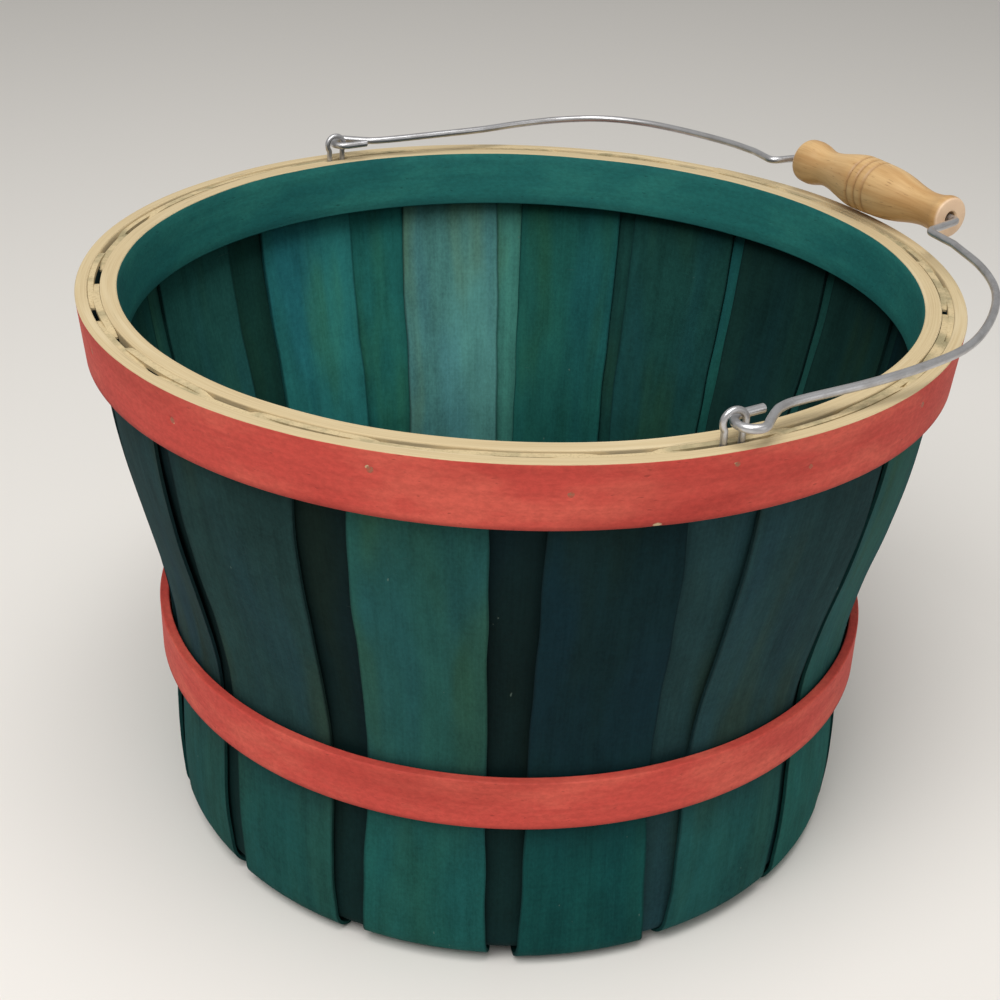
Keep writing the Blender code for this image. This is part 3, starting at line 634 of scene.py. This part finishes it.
def arm_surface(arm, sign, along, offset, inset, levels, cup, seed, q):
    """Faces (outer, inner) of one arm, as rows of points from the crossing to the rim.

    On the base a row is a straight cut across the strip at one radius. Round the bend and
    up the wall it is an arc at one height, whose ends stand proud by cup times (2q) squared
    where the splint is free of the hoops. Between the rim hoops both faces swell to meet
    their neighbours, as squeezed veneer does, and the edges spread a little.
    """
    across = np.array([-along[1], along[0], 0.0])
    bend = BEND_RADIUS - inset
    v = offset + math.radians(arm[1]) * (FLAT_RADIUS + bend) * q
    radius = np.linspace(CROSSING_RADIUS, FLAT_RADIUS, BASE_ROWS)[:, None]
    u = sign * np.sqrt(radius ** 2 - v ** 2)
    lift = smoothstep((FAN_RADIUS - radius) / (FAN_RADIUS - CROSSING_RADIUS))
    low = LEVEL * mix(*levels, lift)
    base = along * u[..., None] + across * v[None, :, None] + UP * low[..., None]

    a = np.radians(np.linspace(9.0, 90.0, BEND_ROWS))[:, None]
    rng = np.random.default_rng(seed)
    top = HEIGHT - rng.uniform(0.15, 0.9) * MM
    heights = np.linspace(BEND_RADIUS + 1.5 * MM, top, WALL_ROWS)[:, None]
    above = heights - HOOP_FOOT
    free = loosening(heights)
    lean = rng.uniform(-0.35, 0.35)
    proud = free * cup * ((2 * q) ** 2 * (1.0 + lean * np.sign(q)) - 0.25)
    proud = proud + WAVE * free * ripple(heights / 0.02 + q * 2.0, seed)
    wall = wall_radius(heights) - inset + proud
    squeeze = smoothstep((above - 1.0 * MM) / (4.0 * MM)) * RIM_GAP
    swell_out, swell_in = (0.9, 0.45) if inset == 0.0 else (1.3, 0.9)
    spread = smoothstep((above - 2.0 * MM) / (5.0 * MM)) * rng.uniform(0.2, 1.9, 2)
    worn = WORN_CORNER * smoothstep((heights - HEIGHT + 4 * MM) / (4 * MM)) * np.abs(2 * q) ** 8
    bend_height = LEVEL * levels[0] + bend

    def face(depth, swell):
        """Radii and heights of a face at a depth below the outer one."""
        turn = bend - depth
        r = np.vstack([FLAT_RADIUS + turn * np.sin(a) + 0 * q, wall - depth + swell * squeeze])
        return r, np.vstack([bend_height - turn * np.cos(a) + 0 * q, heights - worn])

    r_out, z_out = face(0.0, swell_out)
    r_in, z_in = face(SPLINT, -swell_in)
    rise = smoothstep((heights - BEND_RADIUS) / (FIRST_ROW - BEND_RADIUS))
    blend = np.vstack([0.75 * a / (np.pi / 2), 0.75 + 0.25 * rise])
    share = z_out / HEIGHT
    azimuth = mix(arm[0], arm[2], share) + sign * mix(arm[1], arm[3], share) * q
    wavy = 0.25 * ripple(z_out / 0.025, seed + 5) * smoothstep(4 * np.abs(q) - 1)
    azimuth = azimuth + wavy * np.sign(q)
    wider = spread[:, :1] * np.clip(2 * q, 0, 1) - spread[:, 1:] * np.clip(-2 * q, 0, 1)
    azimuth[-WALL_ROWS:] += wider
    foot = np.degrees(np.arctan2(base[-1, :, 0], -base[-1, :, 1]))
    foot = foot + 360.0 * np.round((arm[0] - foot) / 360.0)
    out = radial(mix(foot, azimuth, blend))
    return (np.vstack([base, out * r_out[..., None] + UP * z_out[..., None]]),
            np.vstack([base + UP * SPLINT, out * r_in[..., None] + UP * z_in[..., None]]))


def painted_crevice_shade(points, covers, outside):
    """Painted shade on a splint's surface, from 0 to 1, darkening it where shade falls by the hoops
    and beside the arms over it.

    It falls off as exp(-distance / reach) from the foot of the rim hoop, from the middle hoop
    and from the edges of the other layer's arms that lie over this one.
    """
    z = points[..., 2]
    height = np.clip(z / HEIGHT, 0.0, 1.0)
    azimuth = np.degrees(np.arctan2(points[..., 0], -points[..., 1]))
    radius = np.hypot(points[..., 0], points[..., 1])
    shade = np.exp(-np.clip(HOOP_FOOT - z, 0.0, 1.0) / (3.0 * MM if outside else 6.0 * MM))
    if outside:
        shade = np.maximum(shade, np.exp(-np.clip(z - MID_TOP, 0.0, 1.0) / (2.5 * MM)) * 0.8)
        shade = np.where(z < MID_BOTTOM, np.exp(-(MID_BOTTOM - z) / (3.0 * MM)), shade)
    for base, base_span, rim, rim_span in covers:
        for side in (-0.5, 0.5):
            at = mix(base, rim, height) + side * mix(base_span, rim_span, height)
            gap = np.abs((azimuth - at + 180.0) % 360.0 - 180.0)
            near = np.exp(-np.radians(gap) * radius / (2.2 * MM))
            shade = np.maximum(shade, near * smoothstep((z - FIRST_ROW * 0.2) / FIRST_ROW))
    return shade


def splint_mesh(name, arms, covers, inset, levels, cup, seed):
    """One through splint: arm b turned round, the crossing between, then arm a.

    levels are the splint's layers in the base, at its edge and at the crossing.
    """
    q = np.linspace(-0.5, 0.5, COLUMNS)
    end_a, end_b = (radial(np.array(arm[0])) * FLAT_RADIUS for arm in arms)
    along = (end_a - end_b) / np.linalg.norm(end_a - end_b)
    offset = float(end_a @ np.array([-along[1], along[0], 0.0]))
    (a_out, a_in), (b_out, b_in) = (
        arm_surface(arm, sign, along, offset, inset, levels, cup, seed + k, q)
        for k, (arm, sign) in enumerate(zip(arms, (1, -1))))
    t = np.linspace(0.0, 1.0, CROSSING_ROWS)[1:-1, None, None]
    out = np.vstack([b_out[::-1], mix(b_out[0], a_out[0], t), a_out])
    inner = np.vstack([b_in[::-1], mix(b_in[0], a_in[0], t), a_in])
    points = np.hstack([out, inner[:, ::-1]])
    run = run_length(out[:, COLUMNS // 2])
    round_q = np.concatenate([q, q[::-1]])
    across = np.append(round_q, q[0]) * math.radians(arms[0][1]) * WAIST
    raw = np.zeros(len(run))
    raw[[0, -1]] = 1.0
    # Painted shade for the outer and inner faces, by the hoops and beside the other layer's arms
    outside, inside = (covers, []) if inset > 0.0 else ([], covers)
    shade = np.hstack([painted_crevice_shade(points[:, :COLUMNS], outside, True),
                       painted_crevice_shade(points[:, COLUMNS:], inside, False)])
    # The "edge" mark carries the painted shade line along the splint's edges
    marks = {"shade": shade, "arm": (run / run[-1])[:, None],
             "edge": np.abs(round_q * 2)[None, :], "raw": raw[:, None]}
    columns = 2 * COLUMNS
    caps = []
    for start in (0, (len(run) - 1) * columns):
        last = start + columns - 1
        caps += [[start + i, start + i + 1, last - 1 - i, last - i] for i in range(COLUMNS - 1)]
    return finished(grid_mesh(name, points, across[None, :], run[:, None], (False, True),
                              marks, caps))


def strip_section(outer, thickness, top, bottom, slope, steps):
    """Section of a hoop strip as (radius, height) points: up its inner side, down its outer side.

    Its edges are eased by quarter circles (r + e cos a, z + e sin a).
    """
    inner = outer - thickness
    fall = (top - bottom) * slope
    low, high = bottom + EASE, top - EASE

    def side(radius, count):
        return [(radius - (top - z) * slope, z) for z in np.linspace(low, high, count)]

    def corner(r, z, start):
        turn = np.radians(start - 22.5 * np.arange(4))
        return [(r + EASE * math.cos(a), z + EASE * math.sin(a)) for a in turn]

    points = side(inner, 6) + corner(inner + EASE, high, 157.5)
    points += [(mix(inner + EASE, outer - EASE, t), top) for t in (0.12, 0.3, 0.5, 0.7, 0.88)]
    points += corner(outer - EASE, high, 90.0) + side(outer, steps)[::-1]
    points += corner(outer - fall - EASE, low, -22.5)
    points += [(mix(outer - fall - EASE, inner - fall + EASE, t), bottom) for t in (0.3, 0.7)]
    return np.array(points + corner(inner - fall + EASE, low, -90.0))


def hoop_mesh(name, section, rows, seam, seed, nails=(), chip=None, lap=0.0, raw_top=1.0,
              hidden=0, pocket=None):
    """Strip carried round the axis: its radius and top ripple slightly, nails leave dents.

    The strip starts and ends in a lap at the seam's azimuth, where its outer face steps in by
    lap and comes out again over a sixth of a turn. hidden is -1 or 1 for the side that lies
    against the splints. pocket is (azimuth, half width, radius): that side is cut back to the
    radius there, for an ear's legs.
    """
    turn = np.arange(rows) / rows
    azimuth = seam + turn * 360.0
    radius, height = section.T
    top, bottom = height.max(), height.min()
    around = 0.5 * (radius.max() + radius.min())
    across = (radius - around) / (0.4 * np.ptp(radius))
    outer_side = np.clip(across, 0, 1)
    upper = smoothstep((height - bottom) / (top - bottom))

    def rippled(waves, number):
        return (0.5 + 0.5 * ripple(turn * math.tau * waves, number))[:, None]

    def distance(to):
        return np.radians((azimuth - to + 180.0) % 360.0 - 180.0)[:, None] * around

    z = height - TOP_RIPPLE * rippled(3, seed) * upper
    r = radius - outer_side * (lap * (1.0 - smoothstep(turn / 0.16)))[:, None]
    r = r - FACE_RIPPLE * rippled(2, seed + 1) * outer_side
    raw = np.zeros(r.shape)
    for k, (nail_azimuth, share) in enumerate(nails):
        ds = distance(nail_azimuth)
        dz = z - (top - share * (top - bottom))
        near = np.exp(-((ds ** 2 + dz ** 2) / DENT_RADIUS ** 2) ** 2) * outer_side
        r = r - DENT_DEPTH * near
        lean = (0.5 - k % 2) * MM
        nick = np.exp(-((ds - lean) ** 2 + (dz + lean) ** 2) / NICK_RADIUS ** 2)
        strength = 0.95 if k == FLAKED_NAIL else 0.60 + 0.04 * (k % 3)
        raw = np.maximum(raw, strength * nick * outer_side)
    if chip is not None:
        bite = (distance(chip) / CHIP_HALF) ** 2 + ((z - bottom) / CHIP_HEIGHT) ** 2
        bite = np.exp(-bite) * outer_side
        r = r - CHIP_DEPTH * bite
        raw = np.maximum(raw, 1.2 * bite)
    if pocket is not None:
        at, half, limit = pocket
        inside = smoothstep((half + 0.6 * MM - np.abs(distance(at))) / (0.6 * MM))
        inside = inside * (z > top - (EAR_LEG_DEPTH + 1.0) * MM)
        kept = np.minimum(r, limit) if hidden > 0 else np.maximum(r, limit)
        r = mix(r, kept, inside)
    top_face = smoothstep((height - (top - 0.45 * MM)) / (0.3 * MM))
    raw = np.maximum(raw, np.maximum(raw_top * top_face, np.clip(2.2 * hidden * across, 0, 1)))
    # Painted shade: the "low" mark darkens the lower 2.2 mm of the strip
    low = smoothstep((bottom + 2.2 * MM - height) / (2.2 * MM))
    points = radial(azimuth)[:, None] * r[..., None]
    points[..., 2] = z
    run = run_length(np.vstack([section, section[:1]]))
    length = np.arange(rows + 1) / rows * math.tau * around
    marks = {"raw": raw, "low": low[None, :]}
    mesh = grid_mesh(name, points, run[None, :], length[:, None], (True, True), marks)
    return finished(mesh, 50.0)


def rounded(points, radii, step=7.0):
    """Polyline with each inner corner rounded by its radius; a radius of 0 keeps the corner."""
    made = [Vector(points[0])]
    for k in range(1, len(points) - 1):
        here = Vector(points[k])
        back = (Vector(points[k - 1]) - here).normalized()
        on = (Vector(points[k + 1]) - here).normalized()
        turn = math.pi - back.angle(on)
        if radii[k] <= 0.0 or turn < 0.02:
            made.append(here)
            continue
        middle = here + (back + on).normalized() * (radii[k] / math.cos(turn / 2.0))
        reach = radii[k] * math.tan(turn / 2.0)
        first = here + back * reach - middle
        last = here + on * reach - middle
        steps = max(2, math.ceil(math.degrees(turn) / step))
        for i in range(steps + 1):
            w0 = math.sin((1.0 - i / steps) * turn) / math.sin(turn)
            w1 = math.sin(i / steps * turn) / math.sin(turn)
            made.append(middle + first * w0 + last * w1)
    made.append(Vector(points[-1]))
    return np.array(made)


def through(points, steps):
    """Catmull-Rom run through a list of points, with a number of steps between neighbours."""
    p = np.array(points, float)
    p = np.vstack([2 * p[:1] - p[1:2], p, 2 * p[-1:] - p[-2:-1]])
    t = (np.arange(steps) / steps)[None, :, None]
    a, b, c, d = (p[k:len(p) - 3 + k, None] for k in range(4))
    run = 0.5 * (2 * b + (c - a) * t + (2 * a - 5 * b + 4 * c - d) * t ** 2
                 + (3 * b - a - 3 * c + d) * t ** 3)
    return np.vstack([run.reshape(-1, p.shape[1]), p[-2:-1]])


def bail_side(side, reach, arch):
    """One side of the bail: tail, half circle through the ear, neck and arch."""
    a = np.linspace(0.0, np.pi, 33)
    centre = reach + HOOK_SHIFT
    rise = math.sqrt(HOOK_RADIUS ** 2 - HOOK_SHIFT ** 2)
    hook = np.stack([side * (centre - HOOK_RADIUS * np.cos(a)), rise - HOOK_RADIUS * np.sin(a)], -1)
    x, out = HOOK_TAIL
    tail = np.linspace((side * (reach + x), out), hook[0], 6)[:-1]
    run = [tuple(hook[-1])]
    run += [(side * (reach + x), out) for x, out in NECK]
    run += [(side * reach * x, reach * out) for x, out in arch]
    return np.vstack([tail, hook[:-1], through(run, 8)])


def bail_line():
    """The wire's centre line in millimetres: (along the hinge, out from it)."""
    apart = radial(EAR_FRONT_AZIMUTH) * EAR_FRONT - radial(EAR_BACK_AZIMUTH) * EAR_BACK
    reach = 0.5 * float(np.linalg.norm(apart))
    tilt = math.radians(GRIP_TILT)
    centre = Vector(GRIP_AT) * reach
    run = Vector((math.cos(tilt), math.sin(tilt))) * (GRIP_HALF + WIRE_PAST_GRIP)
    front = bail_side(1.0, reach, ARCH_FRONT)
    back = bail_side(-1.0, reach, ARCH_BACK)
    corners = [Vector(front[-1]), centre + run + Vector(SHOULDER_FRONT), centre + run,
               centre - run, centre - run + Vector(SHOULDER_BACK), Vector(back[-1])]
    bends = [0, SHOULDER_BEND, GRIP_BEND, GRIP_BEND, SHOULDER_BEND, 0]
    return np.vstack([front[:-1], rounded(corners, bends), back[-2::-1]])


def even_spacing(path, step):
    """Path resampled at nearly equal steps along its length."""
    run = run_length(path)
    at = np.linspace(0.0, run[-1], max(2, int(run[-1] / step)))
    return np.stack([np.interp(at, run, values) for values in path.T], -1)


def ear_line(azimuth, distance):
    """An ear's centre line: a ring on two legs that lean with the hoops."""
    start = math.asin(EAR_LEG_SPREAD / EAR_RING)
    lean = -EAR_LEG_DEPTH * HOOP_SLOPE
    a = -np.pi / 2 - start - (math.tau - 2 * start) * np.linspace(0.0, 1.0, 41)
    ring = np.stack([0 * a, EAR_RING * np.cos(a), EAR_RING * np.sin(a)], -1)
    legs = np.array([(lean, -EAR_LEG_SPREAD, -HINGE_RISE - EAR_LEG_DEPTH),
                     (0.0, -EAR_LEG_SPREAD, -HINGE_RISE)])
    path = [*legs, *ring, *(legs[::-1] * (1.0, -1.0, 1.0))]
    radii = [0.0] * len(path)
    radii[2] = radii[-3] = EAR_WIRE
    path = even_spacing(rounded(path, radii), 0.35)
    out = radial(azimuth)
    level = np.array([-out[1], out[0], 0.0])
    path = out * (distance + path[:, :1]) + level * path[:, 1:2] + UP * path[:, 2:]
    return path * MM + UP * HINGE.z


def turned_frame(origin, axis):
    """Matrix that puts a turned mesh's Z along an axis at a place."""
    return Matrix.Translation(origin) @ Vector(axis).to_track_quat("Z", "Y").to_matrix().to_4x4()


def grip_profile():
    """Grip section in millimetres: bore, eased end, turned body with incised rings, other end."""
    x = np.linspace(-0.93, 0.93, 190)
    r = smooth_curve(sorted(GRIP_BODY), x)
    for ring in GRIP_RINGS:
        r -= 0.055 * np.exp(-((x - ring) / 0.011) ** 2)
    bore = GRIP_BORE / GRIP_RADIUS

    def end(side, edge):
        return [(side * 0.985, bore), (side, bore + 0.05)] + [
            (side * (0.94 + 0.06 * math.sin(a)), edge - 0.09 + 0.09 * math.cos(a))
            for a in np.radians(np.linspace(90.0, 0.0, 7))]

    line = end(-1, r[0]) + list(zip(x[1:-1], r[1:-1])) + end(1, r[-1])[::-1]
    return [(radius * GRIP_RADIUS, share * GRIP_HALF) for share, radius in line]


class BasketSizes(bpy.types.PropertyGroup):
    """Sizes that a user may change without touching the construction."""

    cup: FloatProperty(name="Cup", description="How far a free splint's edges stand proud",
                       default=1.1 * MM, min=0.0, max=3.0 * MM, unit="LENGTH")
    inner_cup: FloatProperty(name="Inner cup", description="The same for the inner splints",
                             default=0.2 * MM, min=0.0, max=2.0 * MM, unit="LENGTH")
    lap: FloatProperty(name="Lap", description="Step where a hoop's end lies over its start",
                       default=0.8 * MM, min=0.0, max=2.0 * MM, unit="LENGTH")
    wire_sides: IntProperty(name="Wire sides", description="Facets round the bail's wire",
                            default=18, min=8, max=48)


class BasketColours(bpy.types.PropertyGroup):
    """Colours of the finishes, as linear light."""

    raw_wood: FloatVectorProperty(name="Raw wood", description="Cut edges", subtype="COLOR",
                                  default=linear((196, 177, 139)))
    floor: FloatVectorProperty(name="Floor", description="Floor of the stage", subtype="COLOR",
                               default=linear((230, 226, 220)))


class BASKET_OT_splints(bpy.types.Operator):
    """Builds both layers of dyed splints"""

    bl_idname = "basket.splints"
    bl_label = "Build splints"

    def execute(self, context):
        sizes = context.scene.basket_sizes
        raw = tuple(context.scene.basket_colours.raw_wood)
        layers = [("outer", OUTER_ARMS, INNER_ARMS, OUTER_DYES, 0.0, sizes.cup, 0.42),
                  ("inner", INNER_ARMS, OUTER_ARMS, INNER_DYES, INNER_INSET, sizes.inner_cup, 0.05)]
        for layer, (side, arms, covers, dyes, inset, cup, wash) in enumerate(layers):
            for k in range(8):
                edge = 2 * layer + k % 2
                name = "%s_%d" % (side, k + 1)
                seed = 100 * layer + 10 * k + 3
                mesh = splint_mesh("veneer_" + name, (arms[k], arms[k + 8]), covers, inset,
                                   (edge, 4 * edge + k // 2), cup, seed)
                finish = dyed_splint("dyed_splint_" + name, DYES[dyes[k]], DYES[dyes[k + 8]],
                                     seed * 1.37, raw, wash)
                add_piece(mesh, finish, "splint_" + name)
        return {"FINISHED"}


class BASKET_OT_hoops(bpy.types.Operator):
    """Builds the two rim hoops and the middle hoop"""

    bl_idname = "basket.hoops"
    bl_label = "Build hoops"

    def execute(self, context):
        lap = context.scene.basket_sizes.lap
        raw = tuple(context.scene.basket_colours.raw_wood)
        red = dyed_hoop("dyed_hoop_red", *REDS, raw, 3.0)
        teal = dyed_hoop("dyed_hoop_teal", *TEALS, raw, 21.0)
        room = (EAR_LEG_SPREAD + EAR_WIRE + CLEARANCE) * MM
        deep = (EAR_WIRE + CLEARANCE) * MM
        rim = (HEIGHT, HOOP_FOOT, HOOP_SLOPE)
        inner = WALL_OUTER - INNER_INSET - SPLINT - RIM_GAP
        hoops = [
            ("rim_outer", red, strip_section(RIM_RADIUS, OUTER_HOOP, *rim, 24), dict(
                rows=900, seam=148.0, seed=5, nails=RIM_NAILS, chip=CHIP_AZIMUTH, lap=lap,
                hidden=-1, pocket=(EAR_FRONT_AZIMUTH, room, EAR_FRONT * MM + deep))),
            ("rim_inner", teal, strip_section(inner, INNER_HOOP, *rim, 10), dict(
                rows=800, seam=60.0, seed=9,
                hidden=1, pocket=(EAR_BACK_AZIMUTH, room, EAR_BACK * MM - deep))),
            ("middle", red, strip_section(MID_OUTER, MID_HOOP, MID_TOP, MID_BOTTOM, 0.0, 24), dict(
                rows=700, seam=165.0, seed=13, lap=lap, raw_top=0.0)),
        ]
        for name, finish, section, details in hoops:
            add_piece(hoop_mesh("strip_" + name, section, **details), finish, "hoop_" + name)
        return {"FINISHED"}


class BASKET_OT_nails(bpy.types.Operator):
    """Builds the nails of the hoops and the tack in the base"""

    bl_idname = "basket.nails"
    bl_label = "Build nails"

    def execute(self, context):
        dyed = dull_steel("dyed_steel", (176, 84, 66), (150, 112, 88), RIM_RADIUS - 2.4 * MM)
        steel = dull_steel("dull_steel", (120, 112, 102), (96, 78, 64))

        def drive(name, length, at, out, finish):
            place = turned_frame(at, out)
            mesh = lathe_mesh("steel_" + name, nail_profile(length), place, NAIL_SIDES)
            add_piece(mesh, finish, "nail_" + name)

        for k, (azimuth, share) in enumerate(RIM_NAILS):
            out = radial(azimuth)
            depth = share * (HEIGHT - HOOP_FOOT)
            seat = RIM_RADIUS - depth * HOOP_SLOPE - (RIM_NAIL_SUNK + NAIL_HEAD_HEIGHT) * MM
            at = Vector(out * seat + UP * (HEIGHT - depth))
            drive("rim_%02d" % (k + 1), NAIL_LENGTH, at, out, dyed)
        for k, azimuth in enumerate(MID_NAILS):
            name = "middle_%d" % (k + 1)
            low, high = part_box("nail_" + name)
            out = Vector(radial(azimuth))
            head = (low + high) * 0.5 - out * (0.5 * (MID_NAIL_LENGTH - NAIL_HEAD_HEIGHT) * MM)
            drive(name, MID_NAIL_LENGTH, head, -out, steel)
        head = [(0.0, 1.3), (0.8, 1.27), (1.6, 1.17), (2.4, 0.98), (3.2, 0.65), (3.7, 0.35)]
        shank = [(4.0, 0.0), (1.2, 0.0), (1.2, NAIL_POINT - TACK_LENGTH), (0.0, -TACK_LENGTH)]
        mesh = lathe_mesh("steel_tack", head + shank, Matrix.Translation(Vector(TACK_AT) * MM), 32)
        add_piece(mesh, steel, "tack_crossing")
        return {"FINISHED"}


def nail_profile(length):
    """Section of a nail in millimetres: slightly domed head, shank and point."""
    dome = [(0.0, 1.0), (0.5, 0.96), (0.85, 0.75), (1.0, 0.35), (1.0, 0.0)]
    head = [(r * NAIL_HEAD, z * NAIL_HEAD_HEIGHT) for r, z in dome]
    return head + [(NAIL_SHANK, 0.0), (NAIL_SHANK, NAIL_POINT - length), (0.0, -length)]


class BASKET_OT_ears(bpy.types.Operator):
    """Builds the two wire ears"""

    bl_idname = "basket.ears"
    bl_label = "Build ears"

    def execute(self, context):
        zinc = galvanised("galvanised_ear", 4.0)
        for node, azimuth, distance in (("ear_front", EAR_FRONT_AZIMUTH, EAR_FRONT),
                                        ("ear_back", EAR_BACK_AZIMUTH, EAR_BACK)):
            mesh = tube_mesh("wire_" + node, ear_line(azimuth, distance), EAR_WIRE * MM, 14)
            add_piece(mesh, zinc, node)
        return {"FINISHED"}


class BASKET_OT_bail(bpy.types.Operator):
    """Builds the wire bail"""

    bl_idname = "basket.bail"
    bl_label = "Build bail"

    def execute(self, context):
        along = np.array(HINGE_AXIS)
        arm = np.array(GRIP_CENTRE - HINGE)
        arm -= along * (arm @ along)
        out = arm / np.linalg.norm(arm)
        line = even_spacing(bail_line(), 0.9)
        path = (along * line[:, :1] + out * line[:, 1:]) * MM + np.array(HINGE)
        mesh = tube_mesh("wire_bail", path, BAIL_WIRE * MM, context.scene.basket_sizes.wire_sides)
        add_piece(mesh, galvanised("galvanised_bail", 9.0), "bail", "bail")
        return {"FINISHED"}


class BASKET_OT_grip(bpy.types.Operator):
    """Builds the turned grip"""

    bl_idname = "basket.grip"
    bl_label = "Build grip"

    def execute(self, context):
        place = turned_frame(GRIP_CENTRE, GRIP_AXIS)
        mesh = lathe_mesh("turned_grip", grip_profile(), place, 72, closed=True)
        points = np.array([point.co for point in mesh.vertices])
        share = (points - np.array(GRIP_CENTRE)) @ np.array(GRIP_AXIS) / (GRIP_HALF * MM)
        groove = np.max([np.exp(-((share - ring) / 0.02) ** 2) for ring in GRIP_RINGS], axis=0)
        set_mark(mesh, "groove", groove)
        set_mark(mesh, "end", smoothstep((np.abs(share) - 0.975) / 0.02))
        add_piece(mesh, turned_wood("turned_wood", 2.0), "grip", "grip")
        return {"FINISHED"}


class BASKET_OT_stage(bpy.types.Operator):
    """Builds the floor, lights and camera"""

    bl_idname = "basket.stage"
    bl_label = "Build stage"

    def execute(self, context):
        scene = context.scene
        scene.view_settings.view_transform = "Standard"
        mesh = bpy.data.meshes.new("floor")
        square = [(-1, -1, 0), (1, -1, 0), (1, 1, 0), (-1, 1, 0)]
        mesh.from_pydata(np.multiply(square, FLOOR_HALF), [], [(0, 1, 2, 3)])
        floor = put("floor", mesh)
        floor.location.z = -FLOOR_DROP
        mesh.materials.append(Finish("floor").done((*scene.basket_colours.floor, 1.0), 0.9))

        scene.world = bpy.data.worlds.new("studio")
        scene.world.use_nodes = True
        tree = scene.world.node_tree
        background = tree.nodes["Background"]
        background.inputs["Color"].default_value = WORLD_LIGHT
        background.inputs["Strength"].default_value = WORLD_STRENGTH
        seen = tree.nodes.new("ShaderNodeBackground")
        seen.inputs["Color"].default_value = WORLD_SEEN
        rays = tree.nodes.new("ShaderNodeLightPath")
        blend = tree.nodes.new("ShaderNodeMixShader")
        sources = rays.outputs["Is Camera Ray"], background.outputs[0], seen.outputs[0]
        for k, source in enumerate(sources):
            tree.links.new(source, blend.inputs[k])
        tree.links.new(blend.outputs[0], tree.nodes["World Output"].inputs[0])

        for name, at, size, power in LAMPS:
            lamp = bpy.data.lights.new(name, "AREA")
            lamp.size = size
            lamp.energy = power
            made = put(name, lamp)
            made.location = at
            aim = Vector(LAMPS_AIM) - Vector(at)
            made.rotation_euler = aim.to_track_quat("-Z", "Y").to_euler()

        camera = bpy.data.cameras.new("camera")
        camera.lens = CAMERA_LENS
        camera.clip_start = 0.01
        view = put("camera", camera)
        turn = Matrix(CAMERA_AXES).transposed()
        view.matrix_world = Matrix.Translation(CAMERA_AT) @ turn.to_4x4()
        scene.camera = view
        return {"FINISHED"}


class BASKET_PT_panel(bpy.types.Panel):
    """Lists the steps of the basket"""

    bl_label = "Splint basket"
    bl_idname = "BASKET_PT_panel"
    bl_space_type = "VIEW_3D"
    bl_region_type = "UI"
    bl_category = "Basket"

    def draw(self, context):
        for group in (context.scene.basket_sizes, context.scene.basket_colours):
            for name in group.__annotations__:
                self.layout.prop(group, name)
        for step in STEPS:
            self.layout.operator(step.bl_idname)


STEPS = [BASKET_OT_splints, BASKET_OT_hoops, BASKET_OT_nails, BASKET_OT_ears, BASKET_OT_bail,
         BASKET_OT_grip, BASKET_OT_stage]
CLASSES = [BasketSizes, BasketColours, *STEPS, BASKET_PT_panel]


def register():
    for made in CLASSES:
        bpy.utils.register_class(made)
    bpy.types.Scene.basket_sizes = PointerProperty(type=BasketSizes)
    bpy.types.Scene.basket_colours = PointerProperty(type=BasketColours)


def unregister():
    del bpy.types.Scene.basket_sizes
    del bpy.types.Scene.basket_colours
    for made in reversed(CLASSES):
        bpy.utils.unregister_class(made)


def main():
    register()
    for step in STEPS:
        getattr(bpy.ops.basket, step.bl_idname.split(".")[1])()


if __name__ == "__main__":
    main()
